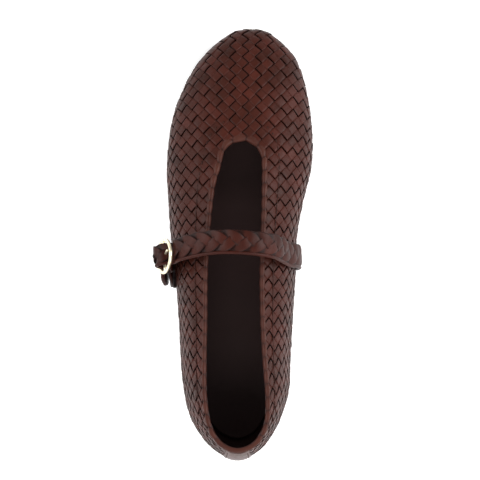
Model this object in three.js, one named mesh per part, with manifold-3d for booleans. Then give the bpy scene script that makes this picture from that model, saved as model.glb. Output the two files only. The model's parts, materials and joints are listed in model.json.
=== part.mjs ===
// Mary jane flat, left shoe: a flat of plaited leather with a round toe, a low heel and one plaited strap.
// Millimetres. +Y points to the toe, +X to the medial side and +Z up. The origin is on the floor under the
// middle of the heel.
import * as THREE from 'three';
import Module from 'manifold-3d';
import { mergeVertices } from 'three/addons/utils/BufferGeometryUtils.js';

const wasm = await Module();
wasm.setup();

// Driving sizes
const shoeLength = 250;
const ballWidth = 85;
const collarHeight = 71.5;
const heelCentre = 32;
const soleThickness = 2.8;
const soleMargin = 0.8;
const heelHeight = 4.7;
const heelLength = 60;
const heelInset = 0.4;
const breastSlant = 5;
const toeSpring = 7.6;
const wall = 1.7;
const stripWidth = 5.4;
const stripRelief = 0.8;
const bindingWidth = 2.4;
const bindingProud = 0.5;
const backStripWidth = 16;
const backStripProud = 0.5;
const insoleThickness = 2.4;
const strapWidth = 14;
const strapThickness = 2.8;
const strapRelief = 0.6;
const strapPitch = 9;
const tipLength = 16;
const tabWidth = 15;
const tabThickness = 2.4;
const ringLength = 26;
const ringWidth = 20;
const wireThickness = 2;
const barThickness = 1.8;
const prongThickness = 1.6;
const ringLean = 20;
const ringRake = 16;
const buckleSlack = 1.5;
const strapBulge = 2.6;
const strapSeat = 0.8;
const tabSeat = 1.3;
const ringClearance = 0.5;
const ringPinch = 0.22;
const tipShare = 0.42;
const tabClearance = 0.3;
const tailStand = 0.8;
const tailSwing = 2;
const tabSlant = 0.03;
const strapSlant = 0.02;
const insoleClearance = 0.9;
const fitGap = 0.3;

// Places of the strap and the buckle, as shares of the shoe length and the collar height
const strapAt = 0.462;
const buckleAt = 0.470;
const buckleUp = 0.605;
const tabAt = 0.422;
const bandMiddle = 0.35;

// Stations from the heel back to the toe. Along is a share of the length, lateral and medial are shares of
// the ball width, and up is a share of the collar height. The bulge is the widest line of the wall and the
// rim is the edge of the opening. Inset is how far the feather line lies inside the bulge, as a share of the
// ball width, and fullness is how high the wall stands before it turns in.
const stations = [
  { along: 0.000, lateral: -0.014, medial: 0.014, up: 0.32, inset: 0.080, fullness: 0.55,
    rimAlong: 0.032, rimLateral: -0.014, rimMedial: 0.014, rimUp: 1.000 },
  { along: 0.006, lateral: 0.064, medial: 0.087, up: 0.32, inset: 0.076, fullness: 0.55,
    rimAlong: 0.036, rimLateral: 0.045, rimMedial: 0.073, rimUp: 1.000 },
  { along: 0.029, lateral: 0.167, medial: 0.185, up: 0.31, inset: 0.062, fullness: 0.56,
    rimAlong: 0.045, rimLateral: 0.094, rimMedial: 0.124, rimUp: 0.998 },
  { along: 0.064, lateral: 0.254, medial: 0.260, up: 0.31, inset: 0.056, fullness: 0.58,
    rimAlong: 0.066, rimLateral: 0.151, rimMedial: 0.178, rimUp: 0.988 },
  { along: 0.103, lateral: 0.315, medial: 0.316, up: 0.30, inset: 0.058, fullness: 0.60,
    rimAlong: 0.096, rimLateral: 0.187, rimMedial: 0.214, rimUp: 0.965 },
  { along: 0.162, lateral: 0.355, medial: 0.365, up: 0.29, inset: 0.060, fullness: 0.64,
    rimAlong: 0.152, rimLateral: 0.211, rimMedial: 0.220, rimUp: 0.915 },
  { along: 0.236, lateral: 0.376, medial: 0.375, up: 0.27, inset: 0.062, fullness: 0.68,
    rimAlong: 0.236, rimLateral: 0.213, rimMedial: 0.199, rimUp: 0.853 },
  { along: 0.325, lateral: 0.389, medial: 0.391, up: 0.26, inset: 0.058, fullness: 0.72,
    rimAlong: 0.326, rimLateral: 0.206, rimMedial: 0.182, rimUp: 0.803 },
  { along: 0.438, lateral: 0.416, medial: 0.412, up: 0.24, inset: 0.054, fullness: 0.74,
    rimAlong: 0.430, rimLateral: 0.201, rimMedial: 0.175, rimUp: 0.750 },
  { along: 0.520, lateral: 0.446, medial: 0.422, up: 0.22, inset: 0.050, fullness: 0.73,
    rimAlong: 0.512, rimLateral: 0.187, rimMedial: 0.182, rimUp: 0.716 },
  { along: 0.600, lateral: 0.462, medial: 0.466, up: 0.21, inset: 0.046, fullness: 0.71,
    rimAlong: 0.584, rimLateral: 0.169, rimMedial: 0.188, rimUp: 0.689 },
  { along: 0.669, lateral: 0.473, medial: 0.516, up: 0.20, inset: 0.044, fullness: 0.68,
    rimAlong: 0.640, rimLateral: 0.144, rimMedial: 0.188, rimUp: 0.655 },
  { along: 0.736, lateral: 0.461, medial: 0.529, up: 0.19, inset: 0.042, fullness: 0.64,
    rimAlong: 0.680, rimLateral: 0.109, rimMedial: 0.187, rimUp: 0.618 },
  { along: 0.803, lateral: 0.425, medial: 0.514, up: 0.19, inset: 0.041, fullness: 0.60,
    rimAlong: 0.706, rimLateral: 0.089, rimMedial: 0.175, rimUp: 0.590 },
  { along: 0.874, lateral: 0.341, medial: 0.473, up: 0.19, inset: 0.041, fullness: 0.56,
    rimAlong: 0.723, rimLateral: 0.061, rimMedial: 0.141, rimUp: 0.572 },
  { along: 0.935, lateral: 0.226, medial: 0.404, up: 0.19, inset: 0.041, fullness: 0.53,
    rimAlong: 0.731, rimLateral: 0.024, rimMedial: 0.109, rimUp: 0.564 },
  { along: 0.980, lateral: 0.078, medial: 0.271, up: 0.195, inset: 0.041, fullness: 0.51,
    rimAlong: 0.7355, rimLateral: -0.018, rimMedial: 0.082, rimUp: 0.560 },
  { along: 0.995, lateral: 0.000, medial: 0.207, up: 0.195, inset: 0.041, fullness: 0.50,
    rimAlong: 0.7365, rimLateral: -0.037, rimMedial: 0.069, rimUp: 0.559 },
  { along: 1.000, lateral: -0.105, medial: 0.105, up: 0.195, inset: 0.041, fullness: 0.50,
    rimAlong: 0.7368, rimLateral: -0.055, rimMedial: 0.055, rimUp: 0.559 },
];

// Underside of the outsole: how high it stands off the floor, as a share of the toe spring or of the heel
const soleLine = [
  { along: 0.00, spring: 0.00, heel: 1.05 },
  { along: 0.28, spring: 0.00, heel: 1.00 },
  { along: 0.36, spring: 0.00, heel: 0.82 },
  { along: 0.43, spring: 0.00, heel: 0.60 },
  { along: 0.50, spring: 0.00, heel: 0.36 },
  { along: 0.57, spring: 0.00, heel: 0.13 },
  { along: 0.63, spring: 0.00, heel: 0.00 },
  { along: 0.77, spring: 0.00, heel: 0.00 },
  { along: 0.87, spring: 0.17, heel: 0.00 },
  { along: 0.92, spring: 0.36, heel: 0.00 },
  { along: 0.96, spring: 0.62, heel: 0.00 },
  { along: 1.00, spring: 1.05, heel: 0.00 },
];

// Mesh counts
const ribCount = 64;
const developedRibs = 160;
const skinRows = 6;
const developedRows = 14;
const edgeSteps = 56;
const soleRungs = 36;
const heelRungs = 22;
const backColumns = 6;
const backRows = 9;
const ringSteps = 26;
const wireSides = 6;
const barSides = 8;

const alongToY = (along) => along * shoeLength - heelCentre;
const mix = THREE.MathUtils.lerp;

// Meshes and solids

const mergeReach = 1e-4;

function closedGeometry(positions, triangles) {
  const geometry = new THREE.BufferGeometry();
  geometry.setAttribute('position', new THREE.Float32BufferAttribute(positions, 3));
  geometry.setIndex(triangles);
  return geometry;
}

function toSolid(geometry) {
  const bare = geometry.clone();
  bare.deleteAttribute('normal');
  bare.deleteAttribute('uv');
  const merged = mergeVertices(bare, mergeReach);
  const triVerts = [];
  const index = merged.index.array;
  for (let k = 0; k < index.length; k += 3) {
    const [a, b, c] = [index[k], index[k + 1], index[k + 2]];
    if (a !== b && b !== c && c !== a) triVerts.push(a, b, c);
  }
  const mesh = new wasm.Mesh({
    numProp: 3,
    vertProperties: new Float32Array(merged.attributes.position.array),
    triVerts: new Uint32Array(triVerts),
  });
  mesh.merge();
  return new wasm.Manifold(mesh);
}

function fromSolid(solid) {
  const { vertProperties, triVerts, numProp } = solid.getMesh();
  const positions = [];
  for (let k = 0; k < vertProperties.length; k += numProp) {
    positions.push(vertProperties[k], vertProperties[k + 1], vertProperties[k + 2]);
  }
  const geometry = closedGeometry(positions, [...triVerts]);
  geometry.computeVertexNormals();
  return geometry;
}

function largestBody(solid) {
  const bodies = solid.decompose();
  return bodies.reduce((best, body) => (body.volume() > best.volume() ? body : best));
}

// A solid swept through a list of sections, each a closed list of points with the same count
function sweptSolid(sections, { closed = false } = {}) {
  const size = sections[0].length;
  const positions = sections.flat().flatMap((point) => point.toArray());
  const triangles = [];
  const last = closed ? sections.length : sections.length - 1;
  for (let row = 0; row < last; row += 1) {
    const next = (row + 1) % sections.length;
    for (let k = 0; k < size; k += 1) {
      const side = (k + 1) % size;
      const [a, b] = [row * size + k, row * size + side];
      const [c, d] = [next * size + side, next * size + k];
      triangles.push(a, b, c, a, c, d);
    }
  }
  if (!closed) {
    const apex = size - 1;
    const end = (sections.length - 1) * size;
    for (let k = 0; k + 1 < apex; k += 1) {
      triangles.push(apex, k + 1, k);
      triangles.push(end + apex, end + k, end + k + 1);
    }
  }
  return outward(toSolid(closedGeometry(positions, triangles)), positions, triangles);
}

function outward(solid, positions, triangles) {
  if (solid.volume() > 0) return solid;
  const flipped = [];
  for (let k = 0; k < triangles.length; k += 3) {
    flipped.push(triangles[k], triangles[k + 2], triangles[k + 1]);
  }
  return toSolid(closedGeometry(positions, flipped));
}

// Lines of the last, each a closed loop that starts at the heel back and runs up the lateral side

function stationLoop(readAlong, readLateral, readMedial, readUp) {
  const point = (row, across) =>
    new THREE.Vector3(across * ballWidth, alongToY(readAlong(row)), readUp(row) * collarHeight);
  const lateral = stations.map((row) => point(row, -readLateral(row)));
  const medial = stations.slice(1, -1).reverse().map((row) => point(row, readMedial(row)));
  return new THREE.CatmullRomCurve3([...lateral, ...medial], true, 'centripetal');
}

const bulgeLoop = stationLoop((r) => r.along, (r) => r.lateral, (r) => r.medial, (r) => r.up);
const rimLoop = stationLoop((r) => r.rimAlong, (r) => r.rimLateral, (r) => r.rimMedial, (r) => r.rimUp);
const shapeLoop = stationLoop(() => 0, (r) => -r.inset, (r) => r.inset, (r) => r.fullness);

const wrap = (q) => q - Math.floor(q);
const loopStep = 1e-3;
const skinStep = 2e-3;
const climbStep = 8e-3;

function soleUnder(y) {
  const along = (y + heelCentre) / shoeLength;
  const rows = soleLine;
  const last = rows.length - 2;
  let k = rows.findIndex((row) => row.along > along) - 1;
  if (k < 0) k = along < rows[0].along ? 0 : last;
  const span = (along - rows[k].along) / (rows[k + 1].along - rows[k].along);
  const slide = THREE.MathUtils.clamp(span, -1, 2);
  const height = (row) => row.spring * toeSpring + row.heel * heelHeight;
  return mix(height(rows[k]), height(rows[k + 1]), slide);
}

const soleTop = (y) => soleUnder(y) + soleThickness;

function planNormal(loop, q) {
  const along = loop.getPoint(wrap(q + loopStep)).sub(loop.getPoint(wrap(q - loopStep)));
  return new THREE.Vector3(-along.y, along.x, 0).normalize();
}

// Feather line: where the wall meets the sole, moved out by the given distance
function featherPoint(q, out = 0) {
  const bulge = bulgeLoop.getPoint(wrap(q));
  const inset = shapeLoop.getPoint(wrap(q)).x;
  const point = bulge.addScaledVector(planNormal(bulgeLoop, q), out - inset);
  point.z = soleTop(point.y);
  return point;
}

// The rib at a place of the loop: one arc from the feather line to the bulge and one from there to the rim
function rib(q) {
  const bulge = bulgeLoop.getPoint(wrap(q));
  const rim = rimLoop.getPoint(wrap(q));
  const feather = featherPoint(q);
  const fullness = shapeLoop.getPoint(wrap(q)).z / collarHeight;
  const low = new THREE.Vector3(bulge.x, bulge.y, mix(feather.z, bulge.z, 0.5));
  const high = new THREE.Vector3(bulge.x, bulge.y, mix(bulge.z, rim.z, fullness));
  const lower = new THREE.QuadraticBezierCurve3(feather, low, bulge);
  const upper = new THREE.QuadraticBezierCurve3(bulge, high, rim);
  const lowerLength = feather.distanceTo(bulge);
  const upperLength = bulge.distanceTo(rim);
  const length = lowerLength + upperLength;
  return { lower, upper, turn: lowerLength / length, length };
}

// A point of the crest surface: t is 0 at the feather line and 1 at the rim, and runs straight on past both
function ribPoint({ lower, upper, turn, length }, t) {
  if (t < 0) {
    return lower.getPoint(0).addScaledVector(lower.getTangent(0), t * length);
  }
  if (t > 1) {
    return upper.getPoint(1).addScaledVector(upper.getTangent(1), (t - 1) * length);
  }
  return t < turn ? lower.getPoint(t / turn) : upper.getPoint((t - turn) / (1 - turn));
}

function skin(q, t, out = 0) {
  const here = rib(q);
  const point = ribPoint(here, t);
  if (out === 0) return point;
  const along = ribPoint(rib(q + skinStep), t).sub(ribPoint(rib(q - skinStep), t));
  const climb = ribPoint(here, t + climbStep).sub(ribPoint(here, t - climbStep));
  return point.addScaledVector(along.cross(climb).normalize(), -out);
}

// Flat pattern of the upper: each rib is laid out straight at its real length. The vamp keeps its plan, and
// the quarters run straight back from it, as the plaited sheet did before it was drawn over the last.
const straightBehind = 0.30;
const straightFrom = 0.45;
const pastFeather = 1.5 * stripWidth;
const pastRim = 1.2 * stripWidth;
const seamMargin = 0.002;
const flatTriangle = 1e-9;
const netSlack = -1e-6;

function developHalf(side) {
  const rows = [];
  let previous = null;
  for (let k = 0; k <= developedRibs / 2; k += 1) {
    const share = mix(0.5, seamMargin, k / (developedRibs / 2));
    const q = side < 0 ? share : 1 - share;
    const here = rib(q);
    const climbs = [];
    for (let row = 0; row <= developedRows; row += 1) {
      climbs.push(mix(-pastFeather / here.length, 1 + pastRim / here.length, row / developedRows));
    }
    const points = climbs.map((t) => ribPoint(here, t));
    const bulge = here.lower.getPoint(1);
    const rim = here.upper.getPoint(1);
    const along = (bulge.y + heelCentre) / shoeLength;
    const straight = 1 - THREE.MathUtils.smoothstep(along, straightBehind, straightFrom);
    const fan = new THREE.Vector2(bulge.x - rim.x, bulge.y - rim.y).normalize();
    const out = fan.lerp(new THREE.Vector2(side, 0), straight).normalize();
    const edge = new THREE.Vector2(rim.x, rim.y);
    if (previous && straight > 0) {
      const middle = Math.floor(developedRows / 2);
      const step = points[middle].distanceTo(previous.points[middle]);
      const marched = previous.edge.clone().add(new THREE.Vector2(0, -step));
      edge.lerp(marched, straight > 0.5 ? 1 : straight);
    }
    const flat = [];
    let reach = 0;
    for (let row = developedRows; row >= 0; row -= 1) {
      if (row < developedRows) reach += points[row].distanceTo(points[row + 1]);
      flat[row] = reach;
    }
    rows.push({
      q, climbs, points, edge,
      flat: flat.map((distance) => edge.clone().addScaledVector(out, distance - pastRim)),
    });
    previous = rows[rows.length - 1];
  }
  return rows;
}

// Crossings of the strips: every node of the plait's square net, looked up on the flat pattern
function plaitNodes(size) {
  const lateral = developHalf(-1);
  const medial = developHalf(1);
  const nodes = new Map();
  const root = Math.SQRT1_2 / size;
  const net = (point) => new THREE.Vector2((point.x + point.y) * root, (point.x - point.y) * root);
  for (const half of [lateral, medial]) {
    for (let k = 0; k + 1 < half.length; k += 1) {
      for (let row = 0; row < developedRows; row += 1) {
        const corner = (i, j) => ({ at: net(half[i].flat[j]), q: half[i].q, t: half[i].climbs[j] });
        const [a, b] = [corner(k, row), corner(k + 1, row)];
        const [c, d] = [corner(k + 1, row + 1), corner(k, row + 1)];
        markNodes(nodes, a, b, c);
        markNodes(nodes, a, c, d);
      }
    }
  }
  return nodes;
}

function markNodes(nodes, a, b, c) {
  const low = [Math.min(a.at.x, b.at.x, c.at.x), Math.min(a.at.y, b.at.y, c.at.y)];
  const high = [Math.max(a.at.x, b.at.x, c.at.x), Math.max(a.at.y, b.at.y, c.at.y)];
  const area = (b.at.x - a.at.x) * (c.at.y - a.at.y) - (c.at.x - a.at.x) * (b.at.y - a.at.y);
  if (Math.abs(area) < flatTriangle) return;
  for (let i = Math.ceil(low[0]); i <= high[0]; i += 1) {
    for (let j = Math.ceil(low[1]); j <= high[1]; j += 1) {
      const v = ((i - a.at.x) * (c.at.y - a.at.y) - (c.at.x - a.at.x) * (j - a.at.y)) / area;
      const w = ((b.at.x - a.at.x) * (j - a.at.y) - (i - a.at.x) * (b.at.y - a.at.y)) / area;
      const u = 1 - v - w;
      if (u >= netSlack && v >= netSlack && w >= netSlack) {
        nodes.set(`${i},${j}`, { i, j, q: u * a.q + v * b.q + w * c.q, t: u * a.t + v * b.t + w * c.t });
      }
    }
  }
}

// Upper

// The wall is cut from a slab that is thicker on both sides, and by a block under the sole's top
const slabSpare = 1.5;
const envelopeProud = 1.2;
const cutMargin = 6.4;
const cutDepth = 20;
const innerDepth = wall + stripRelief;
const slabDepth = innerDepth + slabSpare;

// The plaited sheet: one raised square where a strip passes over, with the gaps between them pressed in
function plaitedSheet() {
  const nodes = plaitNodes(stripWidth);
  const cells = [];
  for (const node of nodes.values()) {
    const steps = [[0, 0], [1, 0], [1, 1], [0, 1]];
    const corners = steps.map(([i, j]) => nodes.get(`${node.i + i},${node.j + j}`));
    if (corners.every(Boolean)) cells.push(corners);
  }
  const positions = [];
  const triangles = [];
  const edges = new Map();
  for (const node of nodes.values()) {
    node.outer = positions.length / 3;
    positions.push(...skin(node.q, node.t, -stripRelief).toArray());
    node.inner = positions.length / 3;
    positions.push(...skin(node.q, node.t, -slabDepth).toArray());
  }
  for (const corners of cells) {
    const q = corners.reduce((sum, corner) => sum + corner.q, 0) / corners.length;
    const t = corners.reduce((sum, corner) => sum + corner.t, 0) / corners.length;
    const centre = positions.length / 3;
    positions.push(...skin(q, t).toArray());
    corners.forEach((corner, k) => {
      const next = corners[(k + 1) % corners.length];
      triangles.push(corner.outer, next.outer, centre);
      const back = `${next.outer},${corner.outer}`;
      if (edges.has(back)) edges.delete(back);
      else edges.set(`${corner.outer},${next.outer}`, [corner, next]);
    });
    const [a, b, c, d] = corners.map((corner) => corner.inner);
    triangles.push(a, c, b, a, d, c);
  }
  for (const [corner, next] of edges.values()) {
    triangles.push(corner.outer, corner.inner, next.inner);
    triangles.push(corner.outer, next.inner, next.outer);
  }
  return outward(toSolid(closedGeometry(positions, triangles)), positions, triangles);
}

function wallEnvelope() {
  const sections = [];
  for (let k = 0; k < ribCount; k += 1) {
    const q = k / ribCount;
    const outer = [];
    const inner = [];
    const foot = -pastFeather / rib(q).length / 2;
    for (let row = 0; row <= skinRows; row += 1) {
      const t = mix(foot, 1, row / skinRows);
      outer.push(skin(q, t, envelopeProud));
      inner.push(skin(q, t, -innerDepth));
    }
    sections.push([...outer, ...inner.reverse()]);
  }
  return sweptSolid(sections, { closed: true });
}

// Rolled binding round the opening, a step up from the plaited wall
const lipRound = 0.5;
const bindingCover = 0.2;

function collarBinding() {
  const sections = [];
  const depth = innerDepth + bindingCover;
  for (let k = 0; k < edgeSteps; k += 1) {
    const q = k / edgeSteps;
    const here = rib(q);
    const back = 1 - bindingWidth / here.length;
    const lip = 1 + lipRound / here.length;
    sections.push([
      skin(q, back, bindingProud), skin(q, 1, bindingProud), skin(q, lip, -lipRound),
      skin(q, lip, lipRound - depth), skin(q, 1, -depth), skin(q, back, -depth),
    ]);
  }
  return sweptSolid(sections, { closed: true });
}

// Smooth strip over the seam at the heel back
const backSpan = 0.01;
const backSink = 0.05;

function backStrip() {
  const chord = bulgeLoop.getPoint(wrap(backSpan)).distanceTo(bulgeLoop.getPoint(wrap(-backSpan)));
  const reach = backSpan * backStripWidth / chord;
  const sections = [];
  for (let row = 0; row <= backRows; row += 1) {
    const t = mix(-pastFeather / rib(0).length / 2, 1, row / backRows);
    const outer = [];
    const inner = [];
    for (let k = 0; k <= backColumns; k += 1) {
      const q = mix(-reach, reach, k / backColumns);
      outer.push(skin(q, t, backStripProud));
      inner.push(skin(q, t, backSink - innerDepth));
    }
    sections.push([...outer, ...inner.reverse()]);
  }
  return sweptSolid(sections);
}

// A ladder of rungs across the shoe, from one loop of points, between two surfaces given over its length
function ladder(outline, lowZ, highZ, from = 0, to = 0.5) {
  const sections = [];
  for (let k = 0; k <= soleRungs; k += 1) {
    const q = mix(from, to, k / soleRungs);
    const left = outline(q);
    const right = outline(1 - q);
    sections.push([
      new THREE.Vector3(left.x, left.y, lowZ(left.y)), new THREE.Vector3(right.x, right.y, lowZ(right.y)),
      new THREE.Vector3(right.x, right.y, highZ(right.y)), new THREE.Vector3(left.x, left.y, highZ(left.y)),
    ]);
  }
  return sweptSolid(sections);
}

function buildUpper() {
  const below = ladder((q) => featherPoint(q, cutMargin), () => -cutDepth, (y) => soleTop(y) + fitGap);
  const walls = plaitedSheet().intersect(wallEnvelope());
  return largestBody(walls.add(backStrip()).add(collarBinding()).subtract(below));
}

// Outsole, heel and insole

const soleOutline = (q) => featherPoint(q, soleMargin);

// The place on the loop, from the heel back, where an outline reaches a given length along the shoe
const halvings = 30;

function placeAt(outline, y, from = 0, to = 0.5) {
  let low = from;
  let high = to;
  for (let k = 0; k < halvings; k += 1) {
    const middle = (low + high) / 2;
    if (outline(middle).y > y) high = middle;
    else low = middle;
  }
  return (low + high) / 2;
}

function buildOutsole() {
  return ladder(soleOutline, soleUnder, soleTop);
}

function buildHeel() {
  const outline = (q) => featherPoint(q, soleMargin - heelInset);
  const back = outline(0).y;
  const topEnd = placeAt(outline, back + heelLength);
  const floorEnd = placeAt(outline, back + heelLength - breastSlant);
  const sections = [];
  for (let k = 0; k <= heelRungs; k += 1) {
    const share = k / heelRungs;
    const [high, low] = [share * topEnd, share * floorEnd];
    const corner = (q, z) => {
      const point = outline(q);
      return new THREE.Vector3(point.x, point.y, z(point.y));
    };
    const under = (y) => soleUnder(y) - fitGap;
    const floor = () => 0;
    sections.push([
      corner(low, floor), corner(1 - low, floor), corner(1 - high, under), corner(high, under),
    ]);
  }
  return sweptSolid(sections);
}

// The insole lies on the outsole, inside the foot of the wall, which is wider where the outsole drops away
const slopeReach = 6;
const steepest = 0.6;

function buildInsole() {
  const outline = (q) => {
    const lean = rib(q).lower.getTangent(0);
    const flare = Math.hypot(lean.x, lean.y) / lean.z;
    const foot = featherPoint(q);
    const inside = featherPoint(q, -slopeReach);
    const drop = Math.max(0, (foot.z - inside.z) / slopeReach);
    const footWidth = innerDepth / lean.z / (1 - Math.min(drop * flare, steepest));
    return featherPoint(q, -footWidth - insoleClearance);
  };
  return ladder(outline, (y) => soleTop(y) + fitGap, (y) => soleTop(y) + fitGap + insoleThickness);
}

// Strap, tab and buckle

const leanOut = THREE.MathUtils.degToRad(ringLean);
const rake = THREE.MathUtils.degToRad(ringRake);
const lateralPlace = (along) => placeAt((q) => bulgeLoop.getPoint(wrap(q)), alongToY(along));
const medialPlace = (along) => placeAt((q) => bulgeLoop.getPoint(wrap(q)), alongToY(along), 1, 0.5);

// The buckle's own axes: down the strap, along the shoe and out from the wall
const buckleDown = new THREE.Vector3(-Math.sin(leanOut), -Math.sin(rake), -Math.cos(leanOut)).normalize();
const buckleOut = new THREE.Vector3(-Math.cos(leanOut), 0, Math.sin(leanOut)).normalize();
buckleOut.addScaledVector(buckleDown, -buckleOut.dot(buckleDown)).normalize();
const buckleAlong = buckleOut.clone().cross(buckleDown).normalize();
const ringReach = (ringLength - wireThickness) / 2;
const ringHalf = (ringWidth - wireThickness) / 2;
const layerStack = tabThickness + strapThickness + 3 * fitGap + wireThickness / 2 + buckleSlack;
const buckleCentre = (() => {
  const wallSide = bulgeLoop.getPoint(wrap(lateralPlace(buckleAt)));
  const x = wallSide.x - layerStack + ringReach * Math.sin(leanOut);
  return new THREE.Vector3(x, wallSide.y, buckleUp * collarHeight);
})();

function atBuckle(down, out, along = 0) {
  return buckleCentre.clone().addScaledVector(buckleDown, down).addScaledVector(buckleOut, out)
    .addScaledVector(buckleAlong, along);
}

const strapUnderRing = -(wireThickness / 2 + ringClearance + strapThickness / 2);
const strapOverBar = barThickness / 2 + fitGap + strapThickness / 2 + strapBulge;
const tabUnderStrap = strapUnderRing - strapThickness / 2 - fitGap - tabThickness / 2 - tabClearance;
const tabUnderBar = -(barThickness / 2 + fitGap + tabThickness / 2);

// Rows up the medial wall, over the opening, through the buckle and down the tail, in the order that the
// strap runs. In the buckle, down is a share of the ring's reach, and over is 0 under the ring and 1 on its
// bar.
const strapClimb = [0.10, 0.24, 0.38, 0.52, 0.64];
const strapArch = [
  { across: 0.262, along: 0.492, up: 0.83 },
  { across: 0.150, along: 0.499, up: 0.92 },
  { across: 0.020, along: 0.503, up: 0.955 },
  { across: -0.110, along: 0.503, up: 0.94 },
  { across: -0.240, along: 0.498, up: 0.875 },
  { across: -0.350, along: 0.489, up: 0.795 },
];
const strapThrough = [
  { down: -1.00, over: 0.00 },
  { down: -0.62, over: 0.00 },
  { down: -0.28, over: 0.87 },
  { down: 0.08, over: 1.00 },
  { down: 0.36, over: 0.58 },
  { down: 0.62, over: 0.00 },
  { down: 1.00, over: 0.00 },
];
const tailRows = [0.52, 0.30, 0.12];
const tabClimb = [0.08, 0.20, 0.32];
const tabRise = [
  { down: 1.15, over: 0.00 },
  { down: 0.66, over: 0.00 },
  { down: 0.36, over: 0.65 },
  { down: 0.00, over: 1.00 },
];

// The strap climbs the medial wall, arches over the opening, dives under the ring, bulges over its bar and
// hangs down as a tail over the tab
function strapRoute() {
  const seat = strapThickness / 2 + strapSeat;
  const wallRows = strapClimb.map((t) => skin(medialPlace(strapAt + strapSlant * t), t, seat));
  const arch = strapArch.map((row) =>
    new THREE.Vector3(row.across * ballWidth, alongToY(row.along), row.up * collarHeight));
  const through = strapThrough.map((row) =>
    atBuckle(row.down * ringReach, mix(strapUnderRing, strapOverBar, row.over)));
  const tab = tabRoute();
  const hang = tabThickness / 2 + fitGap + strapThickness / 2 + tailStand;
  const tail = tailRows.map((share) => {
    const outward = bandOut(tab, share);
    const point = tab.getPointAt(share).addScaledVector(outward, hang);
    point.y -= tailSwing * (1 - share);
    return point;
  });
  return new THREE.CatmullRomCurve3([...wallRows, ...arch, ...through, ...tail], false, 'centripetal');
}

function tabRoute() {
  const seat = tabThickness / 2 + tabSeat;
  const wallRows = tabClimb.map((t) => skin(lateralPlace(tabAt + tabSlant * t), t, seat));
  const rise = tabRise.map((row) =>
    atBuckle(row.down * ringReach, mix(tabUnderStrap, tabUnderBar, row.over)));
  return new THREE.CatmullRomCurve3([...wallRows, ...rise], false, 'centripetal');
}

// A plaited band: two columns of raised strands that meet in a zigzag along the middle
function plaitedBand(route, width, thickness, pitch, taper, outAt) {
  const length = route.getLength();
  const rows = Math.round(length / (pitch / 2));
  const columns = [-1, -0.5, 0, 0.5, 1];
  const sections = [];
  for (let row = 0; row <= rows; row += 1) {
    const share = row / rows;
    const centre = route.getPointAt(share);
    const along = route.getTangentAt(share);
    const across = outAt(share).clone().cross(along).normalize();
    const out = along.clone().cross(across).normalize();
    const spread = width / 2 * taper((1 - share) * length, centre);
    const phase = (k) => (columns[k] > 0 ? row + 1 : row);
    const raised = (k) => Math.abs(columns[k]) === 0.5 && phase(k) % 2 === 1;
    const top = columns.map((column, k) => centre.clone().addScaledVector(across, column * spread)
      .addScaledVector(out, thickness / 2 - (raised(k) ? 0 : strapRelief)));
    const bottom = [1, -1].map((column) => centre.clone().addScaledVector(across, column * spread)
      .addScaledVector(out, -thickness / 2));
    sections.push([...top, ...bottom]);
  }
  return sweptSolid(sections);
}

// A round bar between two points
function roundBar(from, to, thickness) {
  const axis = to.clone().sub(from);
  const bar = new THREE.CylinderGeometry(thickness / 2, thickness / 2, axis.length(), barSides);
  const lengthwise = new THREE.Vector3(0, 1, 0);
  bar.applyQuaternion(new THREE.Quaternion().setFromUnitVectors(lengthwise, axis.normalize()));
  const middle = from.clone().add(to).multiplyScalar(0.5);
  bar.translate(middle.x, middle.y, middle.z);
  return toSolid(bar);
}

function buildBuckleFrame() {
  const sections = [];
  for (let k = 0; k < ringSteps; k += 1) {
    const turn = (k / ringSteps) * 2 * Math.PI;
    const centre = atBuckle(ringReach * Math.cos(turn), 0, ringHalf * Math.sin(turn));
    const beside = atBuckle(ringHalf * Math.cos(turn), 0, ringReach * Math.sin(turn));
    const side = beside.sub(buckleCentre).normalize();
    sections.push(Array.from({ length: wireSides }, (_, n) => {
      const angle = (n / wireSides) * 2 * Math.PI;
      return centre.clone().addScaledVector(side, Math.cos(angle) * wireThickness / 2)
        .addScaledVector(buckleOut, Math.sin(angle) * wireThickness / 2);
    }));
  }
  const bar = roundBar(atBuckle(0, 0, -ringHalf), atBuckle(0, 0, ringHalf), barThickness);
  return sweptSolid(sections, { closed: true }).add(bar);
}

const prongFrom = atBuckle(-barThickness / 2 - fitGap, 0);
const prongRest = atBuckle(-ringReach, (wireThickness + prongThickness) / 2 + fitGap);
const prongWay = prongRest.clone().sub(prongFrom).normalize();
const prongTo = prongRest.clone().addScaledVector(prongWay, wireThickness);

function buildProng() {
  return roundBar(prongFrom, prongTo, prongThickness);
}

function buildStrap() {
  const taper = (left, point) => {
    const pinch = ringPinch * Math.exp(-((point.distanceTo(buckleCentre) / ringReach) ** 2));
    return Math.min(1, mix(tipShare, 1, left / tipLength)) - pinch;
  };
  const route = strapRoute();
  const out = (share) => bandOut(route, share);
  const bare = plaitedBand(route, strapWidth, strapThickness, strapPitch, taper, out);
  return bare.subtract(roundBar(prongFrom, prongTo, prongThickness + 2 * fitGap));
}

function buildTab() {
  const route = tabRoute();
  const out = (share) => bandOut(route, share);
  return plaitedBand(route, tabWidth, tabThickness, strapPitch, () => 1, out);
}

// The outward side of a band, away from the middle of the shoe
function bandOut(route, share) {
  const point = route.getPointAt(share);
  const middle = new THREE.Vector3(0, point.y, bandMiddle * collarHeight);
  return point.sub(middle).normalize();
}

const colours = {
  leather: 0x4a302b,
  edge: 0x35221f,
  lining: 0x231a19,
  brass: 0xd9c58f,
};

function piece(name, solid, color, roughness, metalness = 0) {
  const finish = new THREE.MeshStandardMaterial({ color, roughness, metalness });
  const mesh = new THREE.Mesh(fromSolid(solid), finish);
  mesh.name = name;
  return mesh;
}

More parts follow.
